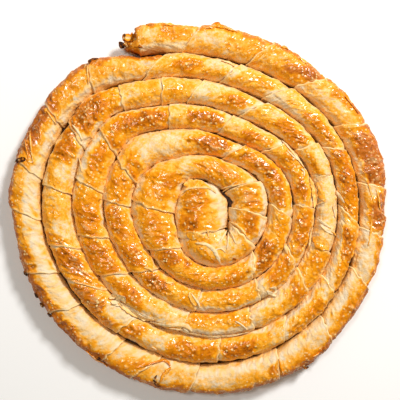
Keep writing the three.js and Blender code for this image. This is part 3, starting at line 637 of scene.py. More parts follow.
def wrinkleSheet(g):
    # Relief in mm: swellings, wrinkles as folded noise stretched one way, creases along the sides, crinkles
    # where the sheet is glazed, and bubbles where it is brown. It settles at the lip and at the next seam.
    flat, chance, shift = g.flat, g.chance, g.sway[..., None]
    slant = math.radians(chance.uniform(*relief["slant"]))
    cosine, sine = math.cos(slant), math.sin(slant)
    slanting = flat @ np.array([[cosine, -sine, 0], [sine, cosine, 0], [0, 0, 1]])
    wrinkle = noise(slanting * [1, 0.28, 1] + shift * [2.5, 1, 0], bumps["wrinkle"], 11)
    wrinkle = np.clip(1 - 2.4 * np.abs(wrinkle), 0, 1)  # ridges where the noise crosses 0
    wrinkle *= smooth(0, 0.4, noise(flat, bumps["wrinkled"], 15) + chance.uniform(-0.5, 0.2))
    crease = noise(flat * [0.16, 1, 1] + shift * [0, 1.5, 0], bumps["crease"], 12)
    crease = chance.uniform(0.4, 1) * np.clip(1 - 3 * np.abs(crease), 0, 1)
    crease = crease * smooth(0.1, 0.7, np.abs(g.q)) * smooth(4, 9, g.z)
    # crumpled sheet: sharp ridges between rounded hollows, at two sizes, each bent by a slower noise
    bent = flat + np.stack([2.6 * g.sway, 2.6 * g.patchy, 0 * g.sway], -1)
    crinkle = 0.45 - 1.3 * np.abs(noise(bent, bumps["crinkle"], 13))
    crinkle = crinkle + 0.36 * (0.4 - 1.3 * np.abs(noise(bent, bumps["smallCrinkle"], 17)))
    glazed = 0.45 + 0.55 * smooth(0.2, 0.55, g.spread)
    crinkle *= glazed * (0.6 + 0.7 * smooth(-0.4, 0.5, noise(flat, bumps["crinkled"], 18)))
    g.settled = smooth(0.3, 3, g.past) * smooth(0, 3, g.ahead)
    g.glossy = 0.75 * g.wash * smooth(0.12, 0.4, g.brown)
    fine = relief["folds"] * wrinkle * g.top + relief["creases"] * crease
    fine += relief["crinkles"] * crinkle * g.top
    papery = relief["papery"][0] - relief["papery"][1] * g.wash
    height = (relief["lumps"][0] * g.swell + relief["lumps"][1] * g.sway) * g.top
    height += fine * g.settled + papery * noise(flat, bumps["paper"], 14) * g.top
    # bare dough browner in the hollows of its relief: painted warm shade
    browner, shallow, deep = eggWash["doughHollows"]
    g.brown = g.brown + (1 - g.wash) * browner * smooth(shallow, deep, -fine) * g.settled
    if g.overfolded:
        outside = smooth(0.5, -0.3, (g.q - g.washIn) * coil["halfWidth"] + 1.1)
        height -= relief["overfold"] * outside * g.top * smooth(0.9, 0.5, g.share)
    dots, lot = bubbles(flat, bumps["blister"], 21)
    wide = 1.1 + 1.2 * lot  # radius in mm of each; those with less than 0.45 stay flat
    g.blister = (lot > 0.45) * np.clip(1 - (dots / wide) ** 2, 0, 1) * smooth(0.3, 0.5, g.brown) * g.top
    g.height = height + relief["blisters"] * g.blister
    # ridge: wrinkle crests that the pale line colour lightens, partly a painted highlight
    g.fine, g.crinkle, g.ridge = fine, crinkle, 0.25 * smooth(0.6, 1, wrinkle) * g.top * g.settled


def raiseSheet(g):
    # The wrap's points: its relief, the step up at the lip that levels out towards the next seam, the lip's
    # rounded edge and the roll behind it, the tail and the seam, all along the normal. The foot stays flat.
    share = np.clip(g.share, 0, 1)
    climb = sheets["lip"] * seams[g.k][2] * (1 - share)
    climb = climb + relief["lean"] * g.chance.uniform(-1, 1) * np.sin(math.pi * share)
    rounded, behind, before = relief["lipEdge"]
    edge = np.where(g.past < behind, -rounded * smooth(behind, before, g.past) ** 2, 0) if g.k else 0
    roll, rollAt, rollRun = relief["lipRoll"]
    (crack, crackRun), (gutter, gutterRun) = relief["seam"]
    step = (climb + edge + roll * hill(g.past, rollAt, rollRun) - relief["tail"] * g.tail
            - crack * np.exp(-np.maximum(g.ahead, 0) / crackRun) - gutter * hill(g.ahead, 0, gutterRun))
    height = g.height + step * smooth(*relief["sides"], g.z)
    lumps, crinkles = relief["mouth"]
    inner = lumps * noise(g.base, bumps["mouth"], 33) + crinkles * g.crinkle
    height = height * (1 - g.inside) + g.inside * inner
    point = g.base + g.normal * (height * smooth(0, relief["foot"], g.z))[..., None]
    point[..., 2] = np.maximum(point[..., 2], 0)
    return point


shading = {
    "lip": 1.1,  # width of the pale line along a wrap's lip, in mm: partly the thin edge's own paler dough, partly a painted highlight
    "uneven": (0.7, 0.5),  # its strength, and how much that changes
    "shoulder": (0.93, 0.05),  # q and width of the pale line where the crest turns down, partly the thin edge's paler dough and partly a painted highlight
    "unevenShoulder": (0.4, 0.6),
    "shoulderFrom": ((9, 13), (0.1, 0.3)),  # heights and tones between which it comes on
    "deepest": (5.8, 10),  # height at which a groove's painted shade is darkest, and mm over which it clears
    "outerGroove": 1.7,  # how much higher that is in the outermost groove, so its painted shade is deeper
    "seam": (0.5, 0.8),  # how dark the painted shade under a lip along the next seam is, and its width in mm
    "hollows": (0.5, 0.25, 0.9),  # how dark the painted shade in the crinkles' hollows is, from one depth to the other
    "mouth": (0.45, 0.4, 0.25),  # tone inside the free end, more at its rim, and its change
    "mouthRim": (0.35, 0.25, 20),  # its rim's place and width, from 0 outside to 1 inside, and its top
    "mouthShade": (0.7, 0.2),  # how dark the painted shade in the mouth is at its bottom and at its rim
    "rust": (0.2, 0.8, 0.55, 0.85),  # on the outermost turn: all over, and more from one tone to the other
    "roastRust": (0.4, 0.75),  # tones between which the roasted rim rusts
    "mouthRust": 0.7,
    "roastMatt": 0.75,  # how much of its gloss the roasted rim loses
    "leastWash": 0.25,  # so that bare dough is mottled too
}


def shadeSheet(g):
    # What the material reads at each point, from 0 to 1: tone, pale lips and ridges that are partly painted
    # highlight, blisters, gloss, painted shade in crevices, seams, hollows and the mouth, wash and rust.
    # pale lines along the lip, the shoulders and the wrinkles' ridges: partly the thin dough's paler edges,
    # partly painted highlight
    usual, change = shading["uneven"]
    lip = hill(np.maximum(g.past, 0), 0, shading["lip"]) * g.top * (g.k > 0) * (usual + change * g.patchy)
    usual, change = shading["unevenShoulder"]
    heights, tones = shading["shoulderFrom"]
    shoulder = hill(np.abs(g.q), *shading["shoulder"]) * smooth(*heights, g.z) * (usual + change * g.patchy)
    shoulder = shoulder * smooth(*tones, g.brown) * ((g.q < 0.5) if g.outermost else 1)
    lip = np.clip(np.maximum(lip, np.maximum(shoulder, g.ridge)), 0, 1)
    # painted shade: darker down in the grooves, under a lip along the next seam, and in the crinkles' hollows
    secondTurn = 360 <= seams[g.k][0] < 720
    outerGroove = (g.q < 0) if g.outermost else (g.q > 0) * secondTurn
    deepest, clears = shading["deepest"]
    depth = (g.z - (deepest + shading["outerGroove"] * outerGroove)) / clears
    paintedShade = np.clip(1 - depth, 0, 1) * ((g.q < 0.5) if g.outermost else 1)
    dark, wide = shading["seam"]
    paintedShade = np.maximum(paintedShade, dark * hill(np.maximum(g.ahead, 0), 0, wide) * g.top * (not g.last))
    dark, shallow, deep = shading["hollows"]
    paintedShade = np.maximum(paintedShade, dark * smooth(shallow, deep, -g.fine) * g.settled)
    if g.k == 0:
        tone, more, change = shading["mouth"]
        bottom, rim = shading["mouthShade"]
        rimAt, rimRun, rimTop = shading["mouthRim"]
        atRim = hill(g.inside, rimAt, rimRun) * (g.z < rimTop)
        g.brown = np.where(g.inside > 0, tone + more * atRim + change * g.patchy, g.brown)
        # painted shade in the hollow of the free end, deepest at its bottom
        mouth = bottom * smooth(0.5, 1, g.inside) + rim * (g.inside > 0)
        paintedShade = np.maximum(paintedShade * (g.inside <= 0), mouth)
    # the outermost turn stands nearest the oven's wall and takes on some rust all over
    allOver, more, light, deep = shading["rust"]
    rust = g.outermost * (allOver + more * smooth(light, deep, g.spread))
    rust = np.maximum(g.roast * smooth(*shading["roastRust"], g.spread), rust)
    rust = np.where(g.inside > 0, shading["mouthRust"], rust * g.wash)
    gloss = g.glossy * (1 - shading["roastMatt"] * g.roast) * (g.inside <= 0)
    return dict(brown=g.brown, lip=lip, blister=g.blister, gloss=gloss, paintedShade=paintedShade,
                wash=np.maximum(g.wash, shading["leastWash"]), roast=rust)


def bakeWrap(k):
    # The points of one wrap, and what the material reads at each.
    g = wrapGrid(k)
    unrollSheet(g)
    washSheet(g)
    wrinkleSheet(g)
    return raiseSheet(g), shadeSheet(g)


def makeMesh(name, points, faces, corners, fields):
    # A mesh from whole arrays. Faces of four and of three are lists of vertex numbers, corners are the
    # places of their corners on the unrolled sheet, and fields are one number for each vertex.
    mesh = bpy.data.meshes.new(name)
    mesh.vertices.add(len(points))
    mesh.vertices.foreach_set("co", (points / 1000).astype(np.float32).ravel())
    sizes = np.concatenate([np.full(len(f), f.shape[1]) for f in faces])
    loops = np.concatenate([f.ravel() for f in faces]).astype(np.int32)
    mesh.loops.add(len(loops))
    mesh.loops.foreach_set("vertex_index", loops)
    mesh.polygons.add(len(sizes))
    mesh.polygons.foreach_set("loop_start", (np.cumsum(sizes) - sizes).astype(np.int32))
    mesh.polygons.foreach_set("use_smooth", np.ones(len(sizes), bool))
    sheet = mesh.uv_layers.new(name="OFBake")
    places = np.concatenate([c.reshape(-1, 2) for c in corners]).astype(np.float32)
    sheet.data.foreach_set("uv", places.ravel())
    for key, values in fields.items():
        layer = mesh.attributes.new(key, "FLOAT", "POINT")
        layer.data.foreach_set("value", np.asarray(values, np.float32).ravel())
    mesh.update()
    mesh.validate()
    return linkObject(name, mesh)


def linkObject(name, data):
    # An object at the origin for a mesh, a lamp or a camera.
    thing = bpy.data.objects.new(name, data)
    bpy.context.scene.collection.objects.link(thing)
    return thing


def placed(points):
    # From the middle of the winding to the part's frame.
    return points + np.array([*coil["middle"], 0])


def joinParts(name, pointSets, fieldSets, faces, corners):
    # One mesh of several closed parts. Its points come back as well, still round the winding's middle.
    points = np.concatenate(pointSets)
    fields = {key: np.concatenate([f[key] for f in fieldSets]) for key in fieldSets[0]}
    return makeMesh(name, placed(points), faces, corners, fields), points


def tubeFaces(rows, count, first=0, box=(0, 0, 1, 1)):
    # Quads between neighbouring rows of a closed section of count points, numbered from first, with the tube
    # unrolled into a box (x, y, width, height) of the sheet.
    i, j = np.arange(rows - 1)[:, None], np.arange(count)[None, :]
    n = (j + 1) % count
    quads = first + np.stack([i * count + j, i * count + n, (i + 1) * count + n, (i + 1) * count + j], -1)
    x = box[0] + box[2] * np.stack([i, i, i + 1, i + 1], -1) / rows + 0 * quads
    y = box[1] + box[3] * np.stack([j, j + 1, j + 1, j], -1) / count + 0 * quads
    return quads.reshape(-1, 4), np.stack([x, y], -1).reshape(-1, 4, 2)


def makeRope(name, which):
    # Several wraps in one mesh. Each is a closed tube whose ends are drawn in and closed in the middle.
    pointSets, fieldSets, faces, corners = [], [], [], []
    first, j = 0, np.arange(columns)
    for n, k in enumerate(which):
        point, fields = bakeWrap(k)
        rows = len(point)
        box = (0.01 + 0.33 * (n % 3), 0.01 + 0.33 * (n // 3), 0.31, 0.31)  # one of nine squares
        for row, farEnd, apex in ((0, 0, -0.012), (rows - 1, 1, 0.03)):
            ids = first + row * columns + j
            fan = np.stack([ids, np.roll(ids, -1), np.full(columns, first + rows * columns + farEnd)], -1)
            y = box[1] + box[3] * np.stack([j, j + 1, j + 0.5], -1) / columns
            x = box[0] + box[2] * (row / rows + np.array([0, 0, apex]))
            place = np.stack([np.broadcast_to(x, y.shape), y], -1)
            order = [0, 1, 2] if farEnd else [1, 0, 2]  # both ends face outwards
            faces.append(fan[:, order])
            corners.append(place[:, order])
        quads, sheet = tubeFaces(rows, columns, first, box)
        faces.append(quads)
        corners.append(sheet)
        ends = np.stack([point[0].mean(0), point[-1].mean(0)])
        pointSets.append(np.concatenate([point.reshape(-1, 3), ends]))
        fields = {key: np.broadcast_to(values, point.shape[:2]) for key, values in fields.items()}
        fieldSets.append({key: np.append(values.ravel(), [values[0].mean(), values[-1].mean()])
                          for key, values in fields.items()})
        first += rows * columns + 2
    return joinParts(name, pointSets, fieldSets, faces, corners)


def finishPiece(piece, material):
    # Every piece rides on the pie's one body and stands for its one solid.
    piece.data.materials.append(material)
    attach(piece, "root")
    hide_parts("filo_coil")


# How the folds and flakes are placed: their courses are points of the view from above, y downwards.
view = {
    "point": 0.88,  # mm to a point at the height of "level"
    "middle": (202, 213),  # where the coil's middle lies
    "eye": (-1.2, 10.6, 620),  # the eye, in mm from the coil's middle
    "level": 12,
    "crest": 21,  # height at which folds and flakes that lie on the coil are seen
    "margin": 3,  # how far inside the coil's outline they end
}
# Each fold, flake or burnt bit: its course (with a height in mm where it stands out from the rim), its width
# in points along the course, how far its left edge, middle and right edge rise in mm, their tones, and its
# crumpling and thickness in mm. Those that lie on the coil and are 3 mm thick are folds of the dough itself.
flakes = {
    "centre_folds": [
        ([(180, 198), (184, 192), (190, 189.2), (200, 188.4), (209, 189), (217, 194)],
         [1.5, 2.5, 2.6, 2.4, 2.4, 1.2], (-0.2, 0.5, -0.3), (0.2, 0.14, 0.2), (0.15, 3)),
        ([(184, 186), (190, 184.5), (197, 184), (205, 183)],
         [2, 8, 8, 2], (-0.6, 0, -0.8), (0.2, 0.3, 0.24), (0.7, 3)),
        ([(187, 233), (192, 236), (199, 238), (208, 239)],
         [3, 8, 8, 3], (0.9, 0.5, 0), (0.2, 0.42, 0.36), (0.4, 3)),
        ([(196, 243.5), (205, 244.5), (213, 249), (218, 257), (221, 265)],
         [1.5, 3, 3.5, 3.5, 1.5], (0.1, 1, 0.2), (0.1, 0.04, 0.12), (0.3, 3)),
        ([(198, 248), (203, 252), (209, 258), (214, 264)],
         [4, 6, 5, 2], (0.2, 0.3, 0.1), (0.5, 0.45, 0.4), (0.3, 3)),
        ([(230, 222.5), (237, 226), (242, 230), (246.5, 236)],
         [1.2, 2.4, 2.4, 1.2], (0.1, 1, 0.1), (0.25, 0.16, 0.3), (0.1, 3)),
        ([(228, 231), (224, 237), (219, 244)], [1, 2, 1], (0, 0.8, 0), (0.1, 0.02, 0.1), (0.2, 3)),
        ([(229, 233), (228.5, 241), (227, 250)], [1, 2, 1], (0, 0.7, 0), (0.1, 0.02, 0.1), (0.2, 3)),
        ([(230, 231), (233, 237), (236, 244)], [1, 2, 1], (0, 0.8, 0), (0.1, 0.05, 0.1), (0.2, 3)),
        ([(214, 251), (221, 249), (226, 253)], [1, 1.6, 1], (0, 0.5, 0), (0.1, 0.02, 0.1), (0.2, 3)),
        ([(221, 190), (231, 187.5), (247, 184)], [1, 1.6, 1], (0, 0.7, 0), (0.2, 0.1, 0.2), (0.1, 3)),
        ([(223, 193), (229, 189), (237, 182)], [1, 1.8, 1], (0, 0.7, 0), (0.2, 0.1, 0.2), (0.1, 3)),
        ([(233, 259), (237, 260.5)], [2.5, 2], (0.3, 0.6, 0.3), (0.8, 0.9, 0.8), (0.2, 1)),
        ([(207, 229), (208.5, 233), (209.5, 238)], [1, 1.6, 1], (0, 0.6, 0), (0.3, 0.2, 0.3), (0.1, 3)),
    ],
    "groove_flakes": [
        ([(110, 299), (113, 297.5), (117, 297), (120, 299)],
         [2, 4.5, 5, 2], (2.2, 0.4, 1.6), (0.02, 0.12, 0.02), (0.9, 0.45)),
        ([(116, 300), (120, 298), (124, 299), (126.5, 303)],
         [2, 5, 5, 2], (2.6, 1.2, 2.2), (0.02, 0.12, 0.02), (1, 0.45)),
        ([(112, 302), (116, 303), (121, 302)], [2, 3.5, 2], (1.8, 0.8, 2.4), (0, 0.08, 0), (0.9, 0.45)),
        ([(113, 303), (118, 304.5), (123, 307)], [2, 4, 2], (0.6, 0.6, 1), (0.02, 0.05, 0.02), (0.5, 0.45)),
        ([(119, 304), (129, 310.5), (139, 315.5), (147, 319), (155, 320.5)],
         [3, 5, 6.5, 6, 1.5], (0.2, 0.7, 1.3), (0.04, 0.1, 0.22), (0.35, 0.4)),
        ([(132, 311), (141, 316), (149, 320)], [1, 1.5, 1], (0, 1.2, 0), (0.05, 0.02, 0.05), (0.1, 3)),
        ([(150, 323), (160, 325), (170, 325.5), (180, 324.5), (187, 326), (193, 332)],
         [1.5, 2.5, 3, 4, 4, 1.5], (0.4, 0.9, 0.9), (0.05, 0.12, 0.18), (0.25, 0.5)),
        ([(170, 328.5), (180, 330), (188, 333.5), (198, 336), (213, 337.6), (232, 336.8), (250, 333)],
         [1, 1.6, 2.2, 2, 2.2, 1.8, 1], (0.3, 1, 0.9), (0.1, 0.02, 0.06), (0.12, 0.6)),
        ([(184, 329), (187, 331.5), (190, 334.5)],
         [1, 2.2, 1], (0.6, 1.3, 0.6), (0.02, 0, 0.02), (0.1, 0.6)),
        ([(192, 293.5), (196, 299), (199.3, 304), (200.6, 309)],
         [1, 1.8, 2, 1], (0.3, 1.3, 1), (0.05, 0, 0.05), (0.1, 2)),
        ([(190, 292), (193, 299), (197, 306)], [2, 5, 3], (0.1, 0.4, 0.9), (0.32, 0.28, 0.2), (0.2, 2)),
        ([(235.5, 321), (240, 323.6), (244, 326.6), (247.8, 330.5)],
         [0.8, 1.5, 1.5, 0.8], (0.2, 1, 0.2), (0.05, 0, 0.05), (0.1, 2)),
        ([(270, 288.5), (275, 287.8), (276.5, 292), (273.5, 296)],
         [1.5, 2.5, 2.5, 1], (0.7, 1, 0.7), (0.1, 0, 0.1), (0.4, 0.5)),
        ([(145, 268), (150, 269), (154, 272)], [1, 2.6, 1], (0.1, 0.9, 0.1), (0.3, 0.2, 0.3), (0.2, 3)),
        ([(166, 282), (170, 283.5), (175, 283)], [1, 2.6, 1], (0.1, 0.9, 0.1), (0.3, 0.2, 0.3), (0.2, 3)),
        ([(152, 347.5), (155, 349), (157.5, 351)],
         [0.8, 1.8, 0.8], (0.1, 0.9, 0.1), (0.1, 0.02, 0.1), (0.1, 2)),
    ],
    "side_flakes": [
        ([(310.5, 178), (313, 186), (315.2, 194), (316, 202), (315, 209)],
         [1.5, 4, 5, 4, 1.5], (1.2, 0.9, 0.4), (0.18, 0.24, 0.2), (0.25, 0.5)),
        ([(318, 183), (320.5, 190), (322, 197), (325, 202.5)],
         [1.5, 4, 6, 2], (0.3, 0.5, 1.1), (0.32, 0.26, 0.34), (0.4, 0.5)),
        ([(314, 237.5), (320, 243), (326, 247.5), (329, 251)],
         [3, 13, 9, 2], (0.8, 0.4, 0.9), (0.3, 0.28, 0.5), (0.4, 0.5)),
        ([(317, 219), (323, 223.5), (331, 229)],
         [1, 2.6, 1], (0.7, 0.8, 0.3), (0.04, 0.02, 0.04), (0.3, 0.5)),
        ([(321, 226), (326, 230), (333, 235)], [1, 3.4, 1.2], (0.2, 0.5, 1), (0.02, 0.06, 0.1), (0.4, 0.5)),
        ([(331, 232), (335, 234.5), (337, 237)], [1, 2, 1], (0.4, 0.8, 0.4), (0.6, 0.3, 0.6), (0.2, 0.5)),
        ([(282, 141), (289, 148), (295, 156), (300, 162), (305, 169)],
         [0.8, 1.8, 2, 2, 0.8], (0.3, 1, 0.5), (0.12, 0.08, 0.12), (0.1, 2)),
        ([(287, 151), (292, 156), (298, 161.5)],
         [0.8, 1.6, 0.8], (0.2, 0.8, 0.3), (0.1, 0.05, 0.1), (0.1, 2)),
        ([(301, 169.5), (304.5, 173), (304, 177.5)],
         [0.8, 1.6, 0.8], (0.2, 0.8, 0.2), (0.05, 0, 0.05), (0.1, 2)),
        ([(314, 228), (312, 234), (311, 241), (309.5, 250)],
         [1, 2, 2, 1], (0.5, 0.9, 0.4), (0.2, 0.14, 0.2), (0.15, 1)),
        ([(337, 191.5), (340.5, 197), (344.5, 204)],
         [0.8, 2.4, 1], (0.4, 1.2, 0.8), (0.05, 0, 0.05), (0.1, 1)),
        ([(317, 206), (322, 203.5), (326, 203)],
         [0.8, 1.6, 0.8], (0.5, 0.7, 0.2), (0.4, 0.15, 0.05), (0.2, 0.5)),
        ([(333, 207), (335, 213), (336, 219)],
         [0.8, 1.6, 0.8], (0.2, 0.6, 0.2), (0.1, 0.02, 0.1), (0.2, 0.6)),
        ([(285, 244), (286, 249), (288, 255)], [1, 3, 1], (0.4, 0.8, 0.4), (0.2, 0.1, 0.2), (0.2, 1)),
        ([(267, 291), (271, 294), (277, 297)], [1, 4, 1.5], (0.3, 0.8, 1), (0.02, 0.02, 0.05), (0.3, 0.6)),
        ([(222, 61.5), (230, 63), (235, 67.5)], [0.8, 2.6, 1], (0.4, 1, 0.3), (0.3, 0.12, 0.2), (0.15, 2)),
        ([(368, 183), (371, 193), (374, 204)], [0.8, 1.8, 0.8], (0, 0.6, 0), (0.4, 0.2, 0.4), (0.15, 3)),
        ([(376, 190), (379, 200), (381, 211)], [0.8, 1.8, 0.8], (0, 0.6, 0), (0.5, 0.3, 0.5), (0.15, 3)),
        ([(73.5, 126), (77, 130), (80.5, 135), (83.5, 141.5)],
         [0.8, 2.4, 2.4, 0.8], (0, 1.2, 0.2), (0.1, 0, 0.1), (0.1, 3)),
        ([(79, 158), (81, 165), (83, 173)], [0.6, 1.2, 0.6], (0, 0.8, 0), (0.2, 0.1, 0.2), (0.05, 3)),
    ],
    "rim_folds": [
        ([(138, 368.5), (147, 365.3), (156, 363), (164, 361.6), (169, 364), (171.5, 368.5)],
         [1, 1.8, 2, 2, 2.4, 1.5], (0, 1.3, 0.2), (0.45, 0.74, 0.7), (0.1, 3)),
        ([(171.5, 368.5), (167, 372.5), (163, 377.5), (161, 383)],
         [2.6, 3.6, 3.4, 2], (0, 1.4, 0.2), (0.6, 0.42, 0.66), (0.15, 3)),
        ([(88, 66), (88.6, 74), (89.5, 85)], [0.8, 1.6, 0.8], (0, 1, 0), (0.3, 0.2, 0.3), (0.1, 3)),
        ([(30, 131), (32, 142), (33, 152), (35, 164)],
         [0.6, 2, 2, 0.8], (0, 1.4, 0), (0.5, 0.25, 0.6), (0.1, 3)),
        ([(26, 140), (27.5, 149), (30, 160)], [0.6, 1.6, 0.8], (0, 1.2, 0), (0.8, 0.4, 0.8), (0.1, 3)),
        ([(48, 112), (52, 118), (57, 125)], [0.8, 1.8, 0.8], (0, 1, 0), (0.3, 0.2, 0.3), (0.1, 3)),
        ([(279, 359), (281, 367), (284, 376)], [0.8, 2.2, 1], (0, 1.2, 0), (0.3, 0.6, 0.4), (0.1, 3)),
        ([(313, 357), (320, 355), (327, 350)], [0.8, 2.4, 0.8], (0, 1.1, 0), (0.4, 0.25, 0.4), (0.2, 3)),
        ([(352, 92), (356, 103), (360, 114)], [0.8, 1.8, 0.8], (0, 0.9, 0), (0.4, 0.3, 0.5), (0.1, 3)),
        ([(372, 218), (371, 232), (368, 247)], [0.8, 1.8, 0.8], (0, 0.6, 0), (0.4, 0.25, 0.4), (0.1, 3)),
    ],
    "rim_flakes": [
        ([(207, 30.5, 17), (212, 28, 17), (217, 25.5, 16.5), (223, 27.5, 17), (231, 30, 17.5),
          (238, 33.5, 17.5)],
         [1.5, 4, 5.5, 4, 3, 1.5], (-1, 0.8, 0), (0.85, 0.5, 0.6), (0.2, 2.5)),
        ([(147, 27.2, 13), (151, 26, 14), (155, 27.2, 13)],
         [1, 2.8, 1], (0, 0.6, 0), (0.8, 0.7, 0.5), (0.2, 3)),
        ([(167, 27, 13), (171, 26, 14.5), (175, 27.4, 13)],
         [1, 3, 1], (0, 0.6, 0), (0.4, 0.3, 0.4), (0.2, 3)),
        ([(280, 50, 13), (284.5, 49, 14), (288.5, 51.5, 13)],
         [1, 3.4, 1], (0, 0.6, 0), (0.75, 0.5, 0.6), (0.2, 3)),
        ([(299.5, 60.5, 14), (304, 62.3, 15), (306, 66, 13)],
         [1.5, 4, 1.5], (0, 0.6, 0), (0.45, 0.35, 0.45), (0.2, 3)),
        ([(28, 160, 17.5), (22, 161.3, 17.5), (15.8, 163.3, 15.5)],
         [4.5, 4.8, 0.8], (0.4, 0, 0.5), (1, 0.97, 1), (0.6, 1.2)),
        ([(99, 59.6, 16), (94, 60.2, 15.5), (91.4, 62.5, 15), (91, 67, 14)],
         [1, 3, 3.6, 1.6], (0, 0.5, 0), (0.95, 1, 0.88), (0.4, 2)),
        ([(26.5, 271, 9), (28, 273.5, 9.5), (29.5, 276, 9)],
         [1, 2.4, 1], (0, 0.5, 0), (1, 0.95, 1), (0.4, 2)),
        ([(36.5, 293, 10), (38, 295.5, 10.5), (39.5, 298, 10)],
         [1, 2.6, 1], (0, 0.5, 0), (1, 0.95, 1), (0.4, 2)),
        ([(42, 303, 9), (43.5, 305.5, 9.5), (45, 307.5, 9)],
         [1, 2.2, 1], (0, 0.5, 0), (1, 0.95, 1), (0.4, 2)),
        ([(49.5, 312.5, 9), (51.5, 315, 9.5), (53.5, 317, 9)],
         [1, 2.2, 1], (0, 0.5, 0), (1, 0.95, 1), (0.4, 2)),
        ([(97, 356, 14.5), (100, 358.4, 15), (103.5, 359.4, 14.5)],
         [1, 3.8, 1.2], (0, 0.6, 0), (1, 1, 0.95), (0.5, 2)),
        ([(88, 349.5, 11), (94, 355.8, 11), (101, 361, 11), (109, 366, 11)],
         [0.8, 2.4, 2.4, 0.8], (0, 0.8, 0), (0.62, 0.5, 0.7), (0.2, 3)),
        ([(157.8, 374, 17), (155.8, 378.5, 15), (157.6, 382.6, 12), (162, 384.8, 9)],
         [1.2, 2.8, 3, 1], (0.2, 0.7, 0), (1, 0.92, 1), (0.4, 2)),
        ([(302.5, 366, 9), (305.5, 367.6, 9.5), (308.5, 366.8, 9)],
         [1, 2.2, 1], (0, 0.5, 0), (0.97, 0.9, 0.97), (0.4, 2)),
    ],
    "torn_layers": [
        ([(138, 41, 11.5), (131, 42.5, 12), (124.5, 43.2, 13)],
         [6, 8, 5], (0.3, 0, 0.3), (0.9, 0.2, 0.95), (0.6, 1)),
        ([(132, 39, 13.5), (128, 38.5, 15.5), (124.5, 39, 16.5)],
         [5, 8, 6], (0.3, 0, 0.2), (0.96, 0.12, 0.9), (0.8, 0.6)),
        ([(126, 34.5, 17), (124.3, 37, 17.5), (124, 42, 16.5)],
         [1.7, 2.7, 1.6], (0, 0.6, 0), (1, 0.95, 0.8), (0.4, 0.8)),
        ([(143, 48, 22.5), (137, 46.3, 21.5), (130, 45.6, 19.5), (124, 45.2, 17.5)],
         [1.4, 3.6, 4.4, 3.4], (0.5, 0, 0.4), (0.95, 0.82, 0.88), (0.6, 2.4)),
        ([(125.5, 47.5, 13.5), (122.5, 46, 14), (119.5, 42.5, 14)],
         [5, 6, 1.6], (0, 0.4, 0), (1, 1, 1), (0.4, 1)),
        ([(137, 31, 17), (136, 36, 15.5), (136, 41, 16)],
         [1.4, 3, 1.8], (0.4, 0, 0.3), (0.95, 0.85, 0.9), (0.8, 1)),
        ([(133, 33, 14), (131.5, 38, 13), (132.5, 43, 14)],
         [1.4, 2.7, 1.4], (0.4, 0, 0.3), (0.75, 0.5, 0.85), (0.8, 1)),
    ],
}
flakeShape = {
    "row": 0.45,  # mm from row to row along a flake
    "column": 0.35,  # and from column to column
    "ragged": 0.3,  # how much its width changes, as a share of it
    "restless": (0.7, 0.5),  # share of its rise that it keeps, and by how much that changes along it
    "fold": 3,  # a sheet as thick as this or thicker is a fold of the dough
    "rooted": 4,  # how far what stands out from the rim reaches down into it, if it is 2 mm thick or more
    "sunk": (0.4, 0.8),  # how far a fold's underside lies under its top, and under the dough
    "clear": 0.1,  # how far above the floor it stays
    "tip": (6, 0.05),  # exponent of its rounded ends, and half the width that is left there
    "bumps": (2.2, 5, 2.6, 1.3),  # mm from bump to bump of its edges, its rise, and its two crumplings
    "speckled": 0.1,  # change of tone
    "pale": (0.45, (0.5, 0), (0.1, 0.7)),  # most paleness of the painted highlight on its raised parts; tones and rises in mm between which it comes on
    "glazed": (0.1, 0.5),  # tones between which its gloss comes on
    "darkest": 0.86,  # what is browner has burnt its glaze away
    "wash": 0.6,  # how strongly it is mottled
}
reliefMap = {"half": 176, "cell": 0.8}  # half its side, and one cell's side, in mm


def heightMap(points):
    # The highest point in each cell of a square grid. Empty cells take the most of their neighbours. A second
    # grid takes the most of nine cells each, softened twice by their mean. Heights between the middles of
    # four cells are mixed by their distances.
    half, cell = reliefMap["half"], reliefMap["cell"]
    size = round(2 * half / cell)
    cells = np.zeros((size, size))
    i = np.clip(((points[:, :2] + half) / cell).astype(int), 1, size - 2)
    np.maximum.at(cells, (i[:, 0], i[:, 1]), points[:, 2])
    nine = [(a, b) for a in (-1, 0, 1) for b in (-1, 0, 1)]
    for _ in range(2):
        most = np.max([np.roll(cells, shift, (0, 1)) for shift in nine], 0)
        cells = np.where(cells > 0, cells, most)
    soft = np.max([np.roll(cells, shift, (0, 1)) for shift in nine], 0)
    for _ in range(2):
        soft = np.mean([np.roll(soft, shift, (0, 1)) for shift in nine], 0)

    def sample(at, which):
        place = (at + half) / cell - 0.5
        i = np.clip(place.astype(int), 0, size - 2)
        f = place - i
        a, b = i[..., 0], i[..., 1]
        u, v = f[..., 0], f[..., 1]
        return (which[a, b] * (1 - u) * (1 - v) + which[a + 1, b] * u * (1 - v)
                + which[a, b + 1] * (1 - u) * v + which[a + 1, b + 1] * u * v)

    return lambda at: (sample(at, cells), sample(at, soft))


def fromView(course):
    # From points of the view to mm from the coil's middle. The higher a place is, the further out it shows,
    # so it is drawn in towards the point below the eye, by the ratio of their distances from it.
    course, eye = np.array(course, float), np.array(view["eye"], float)
    course[:, :2] = (course[:, :2] - view["middle"]) * [view["point"], -view["point"]]
    height = course[:, 2:] if course.shape[1] == 3 else view["crest"]
    course[:, :2] = eye[:2] + (course[:, :2] - eye[:2]) * (eye[2] - height) / (eye[2] - view["level"])
    return course


